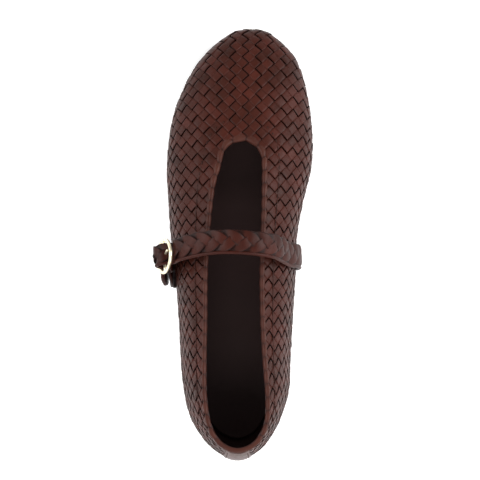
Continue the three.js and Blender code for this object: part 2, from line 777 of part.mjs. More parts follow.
const shoe = new THREE.Group();
shoe.add(piece('outsole', buildOutsole(), colours.edge, 0.45));
shoe.add(piece('heel', buildHeel(), colours.edge, 0.45));
shoe.add(piece('insole', buildInsole(), colours.lining, 0.6));
shoe.add(piece('upper', buildUpper(), colours.leather, 0.5));
shoe.add(piece('strap', buildStrap(), colours.leather, 0.5));
shoe.add(piece('anchor_tab', buildTab(), colours.leather, 0.5));
shoe.add(piece('buckle_frame', buildBuckleFrame(), colours.brass, 0.2, 1));
shoe.add(piece('buckle_prong', buildProng(), colours.brass, 0.2, 1));

export default shoe;
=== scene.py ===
"""A left mary jane flat of plaited leather, with its strap, buckle and sole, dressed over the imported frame.

Sizes inside the classes are millimetres. Meshes are made in metres in the frame's own axes: +Y points to the
toe, +X to the medial side and +Z up.
"""

import json
import logging
import math
from dataclasses import dataclass, field, replace
from enum import Enum
from typing import Any, Callable, Sequence

import bmesh
import bpy
import numpy as np
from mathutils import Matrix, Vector

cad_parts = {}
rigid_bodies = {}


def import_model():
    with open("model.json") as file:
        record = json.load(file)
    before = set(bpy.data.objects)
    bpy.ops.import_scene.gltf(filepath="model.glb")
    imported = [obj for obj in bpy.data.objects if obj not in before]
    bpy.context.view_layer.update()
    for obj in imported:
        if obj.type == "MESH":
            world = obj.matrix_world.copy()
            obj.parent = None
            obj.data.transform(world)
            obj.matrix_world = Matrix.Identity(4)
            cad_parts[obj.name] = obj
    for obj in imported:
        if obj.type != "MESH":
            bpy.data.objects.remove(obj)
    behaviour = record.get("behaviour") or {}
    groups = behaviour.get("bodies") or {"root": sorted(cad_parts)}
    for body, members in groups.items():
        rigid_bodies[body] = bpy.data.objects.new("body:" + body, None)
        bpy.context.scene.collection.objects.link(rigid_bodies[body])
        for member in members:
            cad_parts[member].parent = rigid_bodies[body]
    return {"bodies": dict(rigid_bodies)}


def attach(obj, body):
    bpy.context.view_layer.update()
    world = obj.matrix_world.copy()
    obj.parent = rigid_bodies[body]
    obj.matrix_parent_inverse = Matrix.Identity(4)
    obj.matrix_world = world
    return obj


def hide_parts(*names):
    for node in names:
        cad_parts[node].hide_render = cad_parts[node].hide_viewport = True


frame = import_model()

LOG = logging.getLogger("mary_jane_flat")
BODY = next(iter(frame["bodies"]))
SEED = 7
MM = 0.001
# Points of a mesh that lie closer than this, in millimetres, become one
WELD = 0.02
# Samples with which a place round the shoe and a reach round the rim are looked up
LOOP_SAMPLES = 4001
RIM_SAMPLES = 2001


class Slot(Enum):
    """Material slots of the record."""

    PLAIT = "plaited_leather"
    SOLE = "sole_leather"
    LINING = "lining_leather"
    BRASS = "polished_brass"


class Lay(Enum):
    """The two directions in which the strips of the upper run."""

    TO_MEDIAL = 0
    TO_LATERAL = 1


# Arrays and curves


def unit(vectors: np.ndarray) -> np.ndarray:
    """Vectors of length one, along the last axis."""
    return vectors / np.maximum(np.linalg.norm(vectors, axis=-1, keepdims=True), 1e-12)


def mix(low: Any, high: Any, share: Any) -> Any:
    """The value between two values at a share of the way."""
    return low + (high - low) * share


def smooth_step(value: np.ndarray, low: float, high: float) -> np.ndarray:
    """0 below low, 1 above high, and a smooth rise between them."""
    share = np.clip((value - low) / (high - low), 0.0, 1.0)
    return share * share * (3.0 - 2.0 * share)


def mirrored(values: Sequence[float]) -> np.ndarray:
    """Values from one edge to the middle, and the same values on to the other edge."""
    return np.array([*values, *reversed(values)])


def turns(sides: int) -> np.ndarray:
    """The angles of the corners of a round section."""
    return np.arange(sides) / sides * math.tau


def spline(points: np.ndarray, place: np.ndarray, closed: bool) -> np.ndarray:
    """Reads a centripetal curve through points.

    Args:
        points: The points that the curve passes, one a row.
        place: Places on the curve, counted in points from the first.
        closed: True if the curve returns to its first point.

    Returns:
        A point for each place.
    """
    count = len(points)
    if closed:
        place = place % count
        first = np.floor(place).astype(int)
        around = [points[(first + step) % count] for step in (-1, 0, 1, 2)]
    else:
        ends = (2 * points[0] - points[1], 2 * points[-1] - points[-2])
        padded = np.vstack([ends[0], points, ends[1]])
        first = np.clip(np.floor(place).astype(int), 0, count - 2)
        around = [padded[first + step] for step in (0, 1, 2, 3)]
    share = (place - first)[..., None]
    p0, p1, p2, p3 = around
    d0, d1, d2 = (
        np.maximum(np.linalg.norm(b - a, axis=-1, keepdims=True), 1e-8) ** 0.5
        for a, b in ((p0, p1), (p1, p2), (p2, p3))
    )
    leave = ((p1 - p0) / d0 - (p2 - p0) / (d0 + d1) + (p2 - p1) / d1) * d1
    arrive = ((p2 - p1) / d1 - (p3 - p1) / (d1 + d2) + (p3 - p2) / d2) * d1
    square = 3 * (p2 - p1) - 2 * leave - arrive
    cube = 2 * (p1 - p2) + leave + arrive
    return p1 + share * (leave + share * (square + share * cube))


class Route:
    """An open smooth curve that is read by its share of length."""

    SAMPLES = 48
    # How far before and after a place its direction is read, in millimetres
    LOOK = 0.4

    def __init__(self, points: np.ndarray) -> None:
        """Measures the curve.

        Args:
            points: The points that the curve passes, one a row.
        """
        place = np.linspace(0.0, len(points) - 1.0, (len(points) - 1) * self.SAMPLES + 1)
        self.path = spline(points, place, closed=False)
        steps = np.linalg.norm(np.diff(self.path, axis=0), axis=1)
        self.reach = np.concatenate([[0.0], np.cumsum(steps)])
        self.length = float(self.reach[-1])

    def at(self, share: np.ndarray) -> np.ndarray:
        """Points at shares of the curve's length."""
        wanted = np.asarray(share, float) * self.length
        return np.stack([np.interp(wanted, self.reach, self.path[:, k]) for k in range(3)], axis=-1)

    def along(self, share: np.ndarray) -> np.ndarray:
        """Directions of the curve.

        Args:
            share: Shares of the curve's length.

        Returns:
            A vector of length one for each share.
        """
        step = self.LOOK / self.length
        share = np.asarray(share, float)
        low, high = np.clip(share - step, 0.0, 1.0), np.clip(share + step, 0.0, 1.0)
        return unit(self.at(high) - self.at(low))


# Meshes


@dataclass
class Shape:
    """Points, faces and point values of one piece, gathered before its mesh is made."""

    points: list[np.ndarray] = field(default_factory=list)
    faces: list[np.ndarray] = field(default_factory=list)
    caps: list[list[int]] = field(default_factory=list)
    values: dict[str, list[np.ndarray]] = field(default_factory=dict)
    size: int = 0

    def add_grid(
        self,
        grid: np.ndarray,
        around: bool = False,
        looped: bool = False,
        capped: bool = False,
        keep: np.ndarray | None = None,
        values: dict[str, np.ndarray] | None = None,
    ) -> None:
        """Adds a grid of points with a face between each four neighbours.

        Args:
            grid: Points as rows, columns and coordinates, in millimetres.
            around: True if the last column meets the first.
            looped: True if the last row meets the first.
            capped: True if the first and last rows are closed with a face.
            keep: Which faces stay, by the row and column of their first point, or None for all.
            values: Named numbers for each point.
        """
        rows, columns = grid.shape[:2]
        index = np.arange(rows * columns).reshape(rows, columns) + self.size
        if around:
            index = np.hstack([index, index[:, :1]])
        if looped:
            index = np.vstack([index, index[:1]])
        quads = np.stack([index[:-1, :-1], index[:-1, 1:], index[1:, 1:], index[1:, :-1]], axis=-1)
        self.faces.append(quads[keep] if keep is not None else quads.reshape(-1, 4))
        if capped:
            self.caps.append([int(k) for k in index[0, :columns]][::-1])
            self.caps.append([int(k) for k in index[-1, :columns]])
        self.points.append(grid.reshape(-1, 3))
        for name, numbers in (values or {}).items():
            self.values.setdefault(name, []).append(np.broadcast_to(numbers, (rows, columns)).reshape(-1))
        self.size += rows * columns

    def build(self, name: str, sharp: float = 42.0) -> bpy.types.Object:
        """Makes the object.

        Args:
            name: The piece's name.
            sharp: Edges that bend more than this many degrees are shaded as edges.

        Returns:
            The new object, linked to the scene.
        """
        points = np.vstack(self.points)
        quads = np.vstack(self.faces)
        used = np.zeros(len(points), bool)
        used[quads.reshape(-1)] = True
        for cap in self.caps:
            used[cap] = True
        place = np.cumsum(used) - 1
        faces = place[quads].tolist() + [[int(place[k]) for k in cap] for cap in self.caps]
        mesh = bpy.data.meshes.new(name)
        mesh.from_pydata((points[used] * MM).tolist(), [], faces)
        for title, numbers in self.values.items():
            layer = mesh.attributes.new(title, "FLOAT", "POINT")
            layer.data.foreach_set("value", np.concatenate(numbers)[used].astype(np.float32))
        mesh.validate()
        close_mesh(mesh)
        mesh.shade_smooth()
        mesh.set_sharp_from_angle(angle=math.radians(sharp))
        made = bpy.data.objects.new(name, mesh)
        bpy.context.scene.collection.objects.link(made)
        return made


def close_mesh(mesh: bpy.types.Mesh) -> None:
    """Joins points that meet, drops faces without area, closes cut ends and turns every face outward.

    Args:
        mesh: The mesh, which is changed in place.
    """
    near = WELD * MM
    work = bmesh.new()
    work.from_mesh(mesh)
    bmesh.ops.remove_doubles(work, verts=work.verts, dist=near)
    bmesh.ops.dissolve_degenerate(work, edges=work.edges, dist=near)
    bmesh.ops.holes_fill(work, edges=[edge for edge in work.edges if edge.is_boundary], sides=0)
    bmesh.ops.recalc_face_normals(work, faces=work.faces)
    work.to_mesh(mesh)
    work.free()


def dress(piece: bpy.types.Object, finish: "Finish", *nodes: str) -> bpy.types.Object:
    """Gives a piece its finish and its body, and hides the frame's nodes that it stands for.

    Args:
        piece: The object to dress.
        finish: The finish of its whole surface.
        nodes: Names of the frame's nodes that the piece replaces.

    Returns:
        The same object.
    """
    piece.data.materials.append(finish.material())
    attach(piece, BODY)
    if nodes:
        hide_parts(*nodes)
    LOG.info("%s: %d faces, in %s", piece.name, len(piece.data.polygons), finish.name)
    return piece


# Finishes


def linear(code: str) -> tuple[float, float, float, float]:
    """Reads a colour from its sRGB hex value.

    Args:
        code: A hash sign and six hex digits.

    Returns:
        Linear red, green and blue, with full cover.
    """
    parts = [int(code[k:k + 2], 16) / 255.0 for k in (1, 3, 5)]
    parts = [v / 12.92 if v <= 0.04045 else ((v + 0.055) / 1.055) ** 2.4 for v in parts]
    return (parts[0], parts[1], parts[2], 1.0)


def per_metre(size: float) -> float:
    """How many times a pattern of this size, in millimetres, repeats in a metre."""
    return 1.0 / (size * MM)


def feed(tree: bpy.types.NodeTree, node: bpy.types.Node, inputs: dict[Any, Any]) -> None:
    """Links or sets a node's inputs.

    Args:
        tree: The node tree.
        node: The node.
        inputs: Output sockets or values for the node's inputs, by their name or number.
    """
    for name, value in inputs.items():
        if isinstance(value, bpy.types.NodeSocket):
            tree.links.new(value, node.inputs[name])
        else:
            node.inputs[name].default_value = value


def add_node(
    tree: bpy.types.NodeTree,
    kind: str,
    settings: dict[str, Any] | None = None,
    inputs: dict[Any, Any] | None = None,
) -> bpy.types.Node:
    """Adds a node with its settings and links.

    Args:
        tree: The node tree.
        kind: The node's type name.
        settings: Properties to set on the node.
        inputs: Output sockets or values for the node's inputs, by their name or number.

    Returns:
        The new node.
    """
    node = tree.nodes.new(kind)
    for name, value in (settings or {}).items():
        setattr(node, name, value)
    feed(tree, node, inputs or {})
    return node


# Sockets of a colour mix, by their number
MIX_FACTOR, MIX_A, MIX_B, MIX_RESULT = 0, 6, 7, 2


def blend(tree: bpy.types.NodeTree, share: Any, low: Any, high: Any) -> bpy.types.NodeSocket:
    """The colour between two colours, by a share."""
    inputs = {MIX_FACTOR: share, MIX_A: low, MIX_B: high}
    return add_node(tree, "ShaderNodeMix", {"data_type": "RGBA"}, inputs).outputs[MIX_RESULT]


def remap(
    tree: bpy.types.NodeTree,
    value: bpy.types.NodeSocket,
    source: tuple[float, float] = (0.0, 1.0),
    target: tuple[float, float] = (0.0, 1.0),
    kind: str = "LINEAR",
) -> bpy.types.NodeSocket:
    """Carries a value from one range to another.

    Args:
        tree: The node tree.
        value: The value.
        source: The two ends of the range that it comes from.
        target: What the two ends become.
        kind: How it goes from one end to the other.

    Returns:
        The new value.
    """
    return add_node(tree, "ShaderNodeMapRange", {"interpolation_type": kind}, {
        "Value": value, "From Min": source[0], "From Max": source[1],
        "To Min": target[0], "To Max": target[1]}).outputs[0]


def noise(
    tree: bpy.types.NodeTree,
    where: bpy.types.NodeSocket,
    size: float,
    detail: float,
    roughness: float = 0.5,
) -> bpy.types.NodeSocket:
    """Clouds of an uneven value.

    Args:
        tree: The node tree.
        where: The position.
        size: How large the clouds are, in millimetres.
        detail: How many finer clouds lie in them.
        roughness: How strong the finer ones are.

    Returns:
        The value.
    """
    return add_node(tree, "ShaderNodeTexNoise", None, {
        "Vector": where, "Scale": per_metre(size), "Detail": detail, "Roughness": roughness}).outputs["Fac"]


def pebbles(tree: bpy.types.NodeTree, where: bpy.types.NodeSocket, size: float) -> bpy.types.NodeSocket:
    """Rounded cells of a size in millimetres, as the distance from their middles."""
    inputs = {"Vector": where, "Scale": per_metre(size)}
    return add_node(tree, "ShaderNodeTexVoronoi", {"feature": "SMOOTH_F1"}, inputs).outputs["Distance"]


def waves(
    tree: bpy.types.NodeTree,
    where: bpy.types.NodeSocket,
    size: float,
    direction: str,
    distortion: float,
) -> bpy.types.NodeSocket:
    """Even bands.

    Args:
        tree: The node tree.
        where: The position.
        size: The pitch of the bands, in millimetres.
        direction: The axis that they follow.
        distortion: How uneven they are.

    Returns:
        The value, which rises and falls once in a band.
    """
    return add_node(tree, "ShaderNodeTexWave", {"bands_direction": direction}, {
        "Vector": where, "Scale": per_metre(size) / math.tau, "Distortion": distortion}).outputs["Fac"]


def bump(
    tree: bpy.types.NodeTree,
    height: bpy.types.NodeSocket,
    depth: float,
    strength: float = 0.5,
) -> bpy.types.NodeSocket:
    """Relief too fine to be modelled.

    Args:
        tree: The node tree.
        height: The relief's height, from 0 to 1.
        depth: Its depth in millimetres.
        strength: How much of it shows.

    Returns:
        The surface direction.
    """
    return add_node(tree, "ShaderNodeBump", None, {
        "Strength": strength, "Distance": depth * MM, "Height": height}).outputs[0]


def object_place(tree: bpy.types.NodeTree) -> bpy.types.NodeSocket:
    """The position on the object."""
    return add_node(tree, "ShaderNodeTexCoord").outputs["Object"]


def point_value(tree: bpy.types.NodeTree, name: str) -> bpy.types.NodeSocket:
    """A named number of the mesh's points."""
    return add_node(tree, "ShaderNodeAttribute", {"attribute_name": name}).outputs["Fac"]


@dataclass(frozen=True)
class Finish:
    """What every finish has: a name, a slot of the record and a principled shader."""

    name: str
    slot: Slot

    def material(self) -> bpy.types.Material:
        """Makes the material of this finish, once.

        Returns:
            The material.
        """
        made = bpy.data.materials.get(self.name)
        if made is None:
            made = bpy.data.materials.new(self.name)
            made.use_nodes = True
            tree = made.node_tree
            self.paint(tree, tree.nodes["Principled BSDF"])
        return made

    def paint(self, tree: bpy.types.NodeTree, shader: bpy.types.Node) -> None:
        """Sets the shader's values and links. Each finish has its own."""
        raise NotImplementedError


LEATHER_IOR = 1.5


@dataclass(frozen=True)
class CalfLeather(Finish):
    """Drum-dyed calf leather with a light wax finish, cut in strips or turned over an edge.

    The dye is uneven from strip to strip, the grain is fine and the wax gives a soft, broad gloss. A value on
    the points mixes in a dark colour as edge ink and painted shade: painted shade where the strips dive into
    the plait, on edges that face uphill and in the hollows of the turned edge. A second value shifts the dye
    of each strip at random and paints highlights on the bumps of the turned edge.
    """

    light: str = "#401b13"
    dark: str = "#2b1008"
    ink_and_shade_colour: str = "#180805"
    pore_size: float = 0.45
    crease_size: float = 2.6
    cloud_size: float = 14.0
    tint_share: float = 0.42
    dye_range: tuple[float, float] = (0.2, 0.8)
    crease_range: tuple[float, float] = (0.3, 0.7)
    crease_share: float = 1.6
    roughness: float = 0.44
    waxed: float = 0.06
    worn: float = 0.09
    specular: float = 0.12
    coat: float = 0.01
    coat_roughness: float = 0.35
    grain_depth: float = 0.05
    grain_strength: float = 0.55

    def paint(self, tree: bpy.types.NodeTree, shader: bpy.types.Node) -> None:
        """Gives the shader its dye, its edge ink and painted shade, its grain and its gloss.

        Args:
            tree: The material's node tree.
            shader: Its principled shader.
        """
        where = object_place(tree)
        cloud = noise(tree, where, self.cloud_size, 3.0, 0.55)
        crease = noise(tree, where, self.crease_size, 4.0, 0.6)
        pores = pebbles(tree, where, self.pore_size)
        uneven = add_node(tree, "ShaderNodeMath", {"operation": "MULTIPLY_ADD"}, {
            0: point_value(tree, "tone_and_highlight"), 1: self.tint_share, 2: cloud})
        dye = remap(tree, uneven.outputs[0], self.dye_range)
        base = blend(tree, dye, linear(self.dark), linear(self.light))
        grain = add_node(tree, "ShaderNodeMath", {"operation": "MULTIPLY_ADD"}, {
            0: crease, 1: self.crease_share, 2: pores})
        gloss = (self.roughness - self.waxed, self.roughness + self.worn)
        feed(tree, shader, {
            # Edge ink and painted shade: the points' shade value mixes the dark colour into the dye
            "Base Color": blend(tree, point_value(tree, "ink_and_painted_shade"), base, linear(self.ink_and_shade_colour)),
            "Roughness": remap(tree, crease, self.crease_range, gloss),
            "Normal": bump(tree, grain.outputs[0], self.grain_depth, self.grain_strength),
            "IOR": LEATHER_IOR,
            "Specular IOR Level": self.specular,
            "Coat Weight": self.coat,
            "Coat Roughness": self.coat_roughness,
        })


@dataclass(frozen=True)
class PlainLeather(Finish):
    """Leather of one dye with a grain of its own: the sock and lining, the inked edge of the sole.

    It gives the eye a calm dark surface, whose grain only shows where light grazes it. On a stacked heel,
    faint dark lines part the layers.
    """

    light: str = "#3a2523"
    dark: str = "#2e1c1b"
    grain_size: float = 0.8
    cloud_size: float = 30.0
    grain_depth: float = 0.05
    roughness: float = 0.55
    coat: float = 0.0
    specular: float = 0.25
    layer_size: float = 0.0
    line_range: tuple[float, float] = (0.0, 0.25)
    line_share: float = 0.5
    gloss_spread: float = 0.08
    coat_roughness: float = 0.3

    def paint(self, tree: bpy.types.NodeTree, shader: bpy.types.Node) -> None:
        """Gives the shader its dye, grain, gloss and, on a stacked heel, the lines between its layers.

        Args:
            tree: The material's node tree.
            shader: Its principled shader.
        """
        where = object_place(tree)
        cloud = noise(tree, where, self.cloud_size, 3.0)
        colour = blend(tree, cloud, linear(self.dark), linear(self.light))
        if self.layer_size:
            layers = waves(tree, where, self.layer_size, "Z", 0.6)
            lines = remap(tree, layers, self.line_range, (self.line_share, 0.0))
            colour = blend(tree, lines, colour, linear(self.dark))
        gloss = (self.roughness - self.gloss_spread, self.roughness + self.gloss_spread)
        feed(tree, shader, {
            "Base Color": colour,
            "Roughness": remap(tree, cloud, target=gloss),
            "Normal": bump(tree, pebbles(tree, where, self.grain_size), self.grain_depth),
            "IOR": LEATHER_IOR,
            "Specular IOR Level": self.specular,
            "Coat Weight": self.coat,
            "Coat Roughness": self.coat_roughness,
        })


@dataclass(frozen=True)
class Brass(Finish):
    """Cast brass, tumbled and polished, with a pale gold wash.

    It mirrors the white studio in long bright lines, with faint scratches that soften them.
    """

    colour: str = "#e6cf93"
    scratch_size: float = 0.5
    roughness: float = 0.16
    polished: float = 0.06
    scratched: float = 0.1

    def paint(self, tree: bpy.types.NodeTree, shader: bpy.types.Node) -> None:
        """Makes the shader metal, with its gloss broken by faint scratches.

        Args:
            tree: The material's node tree.
            shader: Its principled shader.
        """
        scratches = noise(tree, object_place(tree), self.scratch_size, 4.0)
        gloss = (self.roughness - self.polished, self.roughness + self.scratched)
        feed(tree, shader, {
            "Base Color": linear(self.colour),
            "Metallic": 1.0,
            "Roughness": remap(tree, scratches, target=gloss),
        })


@dataclass(frozen=True)
class Thread(Finish):
    """Waxed polyester thread, laid in short stitches.

    Each stitch is a small matt ridge, a little darker than the leather that it holds.
    """

    colour: str = "#2e1711"
    twist_size: float = 0.4
    twist_depth: float = 0.08
    roughness: float = 0.7
    specular: float = 0.2

    def paint(self, tree: bpy.types.NodeTree, shader: bpy.types.Node) -> None:
        """Gives the shader the thread's colour and the ridges of its twist.

        Args:
            tree: The material's node tree.
            shader: Its principled shader.
        """
        twist = waves(tree, object_place(tree), self.twist_size, "DIAGONAL", 1.0)
        feed(tree, shader, {
            "Base Color": linear(self.colour),
            "Roughness": self.roughness,
            "Specular IOR Level": self.specular,
            "Normal": bump(tree, twist, self.twist_depth),
        })


STRIP_LEATHER = CalfLeather("calf_leather_strips", Slot.PLAIT)
EDGE_LEATHER = CalfLeather("calf_leather_turned_edge", Slot.PLAIT, light="#46261e", dark="#301610")
BAND_LEATHER = CalfLeather("calf_leather_strap", Slot.PLAIT, light="#3b170f", dark="#250c06")
SOCK_LEATHER = PlainLeather("sheepskin_sock", Slot.LINING)
SOLE_LEATHER = PlainLeather(
    "inked_sole_leather", Slot.SOLE, light="#2c1815", dark="#20110e", grain_size=0.5, cloud_size=22.0,
    grain_depth=0.03, roughness=0.4, coat=0.04)
HEEL_LEATHER = replace(SOLE_LEATHER, name="stacked_heel_leather", layer_size=1.6)
# Painted shade: a near-black disc stands for the shaded mouth of the hole punched through the strap.
HOLE_SHADE = PlainLeather("painted_shade_of_hole", Slot.PLAIT, light="#120806", dark="#0a0403", specular=0.1)
POLISHED_BRASS = Brass("polished_brass", Slot.BRASS)
WAXED_THREAD = Thread("waxed_thread", Slot.PLAIT)


# The last and the lines of the shoe


@dataclass(frozen=True)
class Station:
    """One section of the last.

    Along is a share of the length, lateral and medial of the ball width, up of the collar height. Inset is
    how far the feather line lies inside the bulge and fullness how high the wall stands.
    """

    along: float
    lateral: float
    medial: float
    up: float
    inset: float
    fullness: float
    rim_along: float
    rim_lateral: float
    rim_medial: float
    rim_up: float


STATIONS = (
    Station(0.000, -0.014, 0.014, 0.320, 0.080, 0.55, 0.0320, -0.014, 0.014, 1.000),
    Station(0.006, 0.064, 0.087, 0.320, 0.076, 0.55, 0.0360, 0.045, 0.073, 1.000),
    Station(0.029, 0.167, 0.185, 0.310, 0.062, 0.56, 0.0450, 0.094, 0.124, 0.998),
    Station(0.064, 0.254, 0.260, 0.310, 0.056, 0.58, 0.0660, 0.151, 0.178, 0.988),
    Station(0.103, 0.315, 0.316, 0.300, 0.058, 0.60, 0.0960, 0.187, 0.214, 0.965),
    Station(0.162, 0.355, 0.365, 0.290, 0.060, 0.64, 0.1520, 0.211, 0.220, 0.915),
    Station(0.236, 0.376, 0.375, 0.270, 0.062, 0.68, 0.2360, 0.213, 0.199, 0.853),
    Station(0.325, 0.389, 0.391, 0.260, 0.058, 0.72, 0.3260, 0.206, 0.182, 0.803),
    Station(0.438, 0.416, 0.412, 0.240, 0.054, 0.74, 0.4300, 0.201, 0.175, 0.750),
    Station(0.520, 0.446, 0.422, 0.220, 0.050, 0.73, 0.5120, 0.187, 0.182, 0.716),
    Station(0.600, 0.462, 0.466, 0.210, 0.046, 0.71, 0.5840, 0.169, 0.188, 0.689),
    Station(0.669, 0.473, 0.516, 0.200, 0.044, 0.68, 0.6400, 0.144, 0.188, 0.655),
    Station(0.736, 0.461, 0.529, 0.190, 0.042, 0.64, 0.6800, 0.109, 0.187, 0.618),
    Station(0.803, 0.425, 0.514, 0.190, 0.041, 0.60, 0.7060, 0.089, 0.175, 0.590),
    Station(0.874, 0.341, 0.473, 0.190, 0.041, 0.56, 0.7230, 0.061, 0.141, 0.572),
    Station(0.935, 0.226, 0.404, 0.190, 0.041, 0.53, 0.7310, 0.024, 0.109, 0.564),
    Station(0.980, 0.078, 0.271, 0.195, 0.041, 0.51, 0.7355, -0.018, 0.082, 0.560),
    Station(0.995, 0.000, 0.207, 0.195, 0.041, 0.50, 0.7365, -0.037, 0.069, 0.559),
    Station(1.000, -0.105, 0.105, 0.195, 0.041, 0.50, 0.7368, -0.055, 0.055, 0.559),
)

# Underside of the outsole: place along the shoe, share of the toe spring and share of the heel height
SOLE_LINE = (
    (0.00, 0.00, 1.05), (0.28, 0.00, 1.00), (0.36, 0.00, 0.82), (0.43, 0.00, 0.60), (0.50, 0.00, 0.36),
    (0.57, 0.00, 0.13), (0.63, 0.00, 0.00), (0.77, 0.00, 0.00), (0.87, 0.17, 0.00), (0.92, 0.36, 0.00),
    (0.96, 0.62, 0.00), (1.00, 1.05, 0.00),
)


@dataclass
class Ribs:
    """The ribs of the wall at some places of the loop: two arcs each, from the feather line to the rim."""

    feather: np.ndarray
    low: np.ndarray
    bulge: np.ndarray
    high: np.ndarray
    rim: np.ndarray
    turn: np.ndarray
    length: np.ndarray

    def at(self, climb: np.ndarray) -> np.ndarray:
        """Points of the crest surface.

        Args:
            climb: 0 at the feather line and 1 at the rim. It runs straight on past both.

        Returns:
            A point for each rib and climb.
        """
        climb = climb[..., None]
        turn, length = self.turn[..., None], self.length[..., None]
        low, high = np.clip(climb / turn, 0, 1), np.clip((climb - turn) / (1 - turn), 0, 1)
        under = self.feather * (1 - low) ** 2 + 2 * self.low * low * (1 - low) + self.bulge * low ** 2
        over = self.bulge * (1 - high) ** 2 + 2 * self.high * high * (1 - high) + self.rim * high ** 2
        points = np.where(climb < turn, under, over)
        points = points + unit(self.low - self.feather) * np.minimum(climb, 0) * length
        return points + unit(self.rim - self.high) * np.maximum(climb - 1, 0) * length


@dataclass
class Last:
    """The form of the shoe, worked out from its length, ball width and collar height."""

    length: float = 250.0
    ball_width: float = 85.0
    collar_height: float = 71.5
    heel_centre: float = 32.0
    sole_thickness: float = 2.8
    heel_height: float = 4.7
    toe_spring: float = 7.6

    def __post_init__(self) -> None:
        """Lays the bulge, the rim and the shape values round the shoe, up the lateral side and back."""
        self.bulge_points = self._loop("along", "lateral", "medial", "up")
        self.rim_points = self._loop("rim_along", "rim_lateral", "rim_medial", "rim_up")
        rows = list(STATIONS) + list(STATIONS[-2:0:-1])
        self.shape_points = np.array(
            [[row.inset * self.ball_width, 0.0, row.fullness * self.collar_height] for row in rows])

    def _loop(self, along: str, lateral: str, medial: str, up: str) -> np.ndarray:
        """Lays one line of the sections round the shoe, up the lateral side and back down the medial side.

        Args:
            along: Name of the sections' value along the shoe.
            lateral: Name of the value to the lateral side.
            medial: Name of the value to the medial side.
            up: Name of the value upward.

        Returns:
            The points, one a row.
        """
        left = [(getattr(row, along), -getattr(row, lateral), getattr(row, up)) for row in STATIONS]
        right = [(getattr(row, along), getattr(row, medial), getattr(row, up)) for row in STATIONS[-2:0:-1]]
        return np.array([
            [across * self.ball_width, self.y_at(place), height * self.collar_height]
            for place, across, height in left + right])

    def y_at(self, along: float) -> float:
        """The Y of a share of the length."""
        return along * self.length - self.heel_centre

    def bulge(self, q: np.ndarray) -> np.ndarray:
        """Points of the widest line at places of the loop."""
        return spline(self.bulge_points, np.asarray(q, float) % 1.0 * len(self.bulge_points), True)

    def rim(self, q: np.ndarray) -> np.ndarray:
        """Points of the opening's edge at places of the loop."""
        return spline(self.rim_points, np.asarray(q, float) % 1.0 * len(self.rim_points), True)

    def under(self, y: np.ndarray) -> np.ndarray:
        """Height of the outsole's underside.

        Args:
            y: Places along the shoe.

        Returns:
            A height for each place.
        """
        rows = np.array(SOLE_LINE)
        first, last = 2 * rows[0] - rows[1], 2 * rows[-1] - rows[-2]
        rows = np.vstack([first, rows, last])
        heights = rows[:, 1] * self.toe_spring + rows[:, 2] * self.heel_height
        return np.interp(y, rows[:, 0] * self.length - self.heel_centre, heights)

    def top(self, y: np.ndarray) -> np.ndarray:
        """Height of the outsole's upper face."""
        return self.under(y) + self.sole_thickness

    def feather(self, q: np.ndarray, out: Any = 0.0) -> np.ndarray:
        """Points of the line where the wall meets the sole.

        Args:
            q: Places of the loop.
            out: How far the line is moved outward.

        Returns:
            A point for each place.
        """
        q = np.asarray(q, float)
        step = 1e-3
        along = self.bulge(q + step) - self.bulge(q - step)
        inward = unit(np.stack([-along[..., 1], along[..., 0], np.zeros_like(q)], axis=-1))
        inset = spline(self.shape_points, q % 1.0 * len(self.shape_points), True)[..., 0]
        points = self.bulge(q) + inward * (np.asarray(out) - inset)[..., None]
        points[..., 2] = self.top(points[..., 1])
        return points

    def ribs(self, q: np.ndarray) -> Ribs:
        """Measures the ribs of the wall.

        Args:
            q: Places of the loop.

        Returns:
            The ribs, with an entry for each place.
        """
        q = np.asarray(q, float)
        bulge, rim, feather = self.bulge(q), self.rim(q), self.feather(q)
        shapes = spline(self.shape_points, q % 1.0 * len(self.shape_points), True)
        fullness = shapes[..., 2] / self.collar_height
        low, high = bulge.copy(), bulge.copy()
        low[..., 2] = mix(feather[..., 2], bulge[..., 2], 0.5)
        high[..., 2] = mix(bulge[..., 2], rim[..., 2], fullness)
        lower = np.linalg.norm(bulge - feather, axis=-1)
        upper = np.linalg.norm(rim - bulge, axis=-1)
        return Ribs(feather, low, bulge, high, rim, lower / (lower + upper), lower + upper)

    def skin(self, q: np.ndarray, climb: np.ndarray, out: Any = 0.0) -> np.ndarray:
        """Points on or beside the crest surface of the upper.

        Args:
            q: Places of the loop.
            climb: 0 at the feather line and 1 at the rim.
            out: Distance outward from the crest surface.

        Returns:
            A point for each place.
        """
        q, climb, out = np.broadcast_arrays(*(np.asarray(value, float) for value in (q, climb, out)))
        step, rise = 2e-3, 8e-3
        here = self.ribs(q)
        along = self.ribs(q + step).at(climb) - self.ribs(q - step).at(climb)
        up = here.at(climb + rise) - here.at(climb - rise)
        return here.at(climb) - unit(np.cross(along, up)) * out[..., None]

    def place_at(self, y: float, medial: bool = False) -> float:
        """The place of the loop where the bulge reaches a given Y, on one side."""
        q = np.linspace(0.5, 1.0 if medial else 0.0, LOOP_SAMPLES)
        return float(np.interp(-y, -self.bulge(q)[:, 1], q))


# The plait


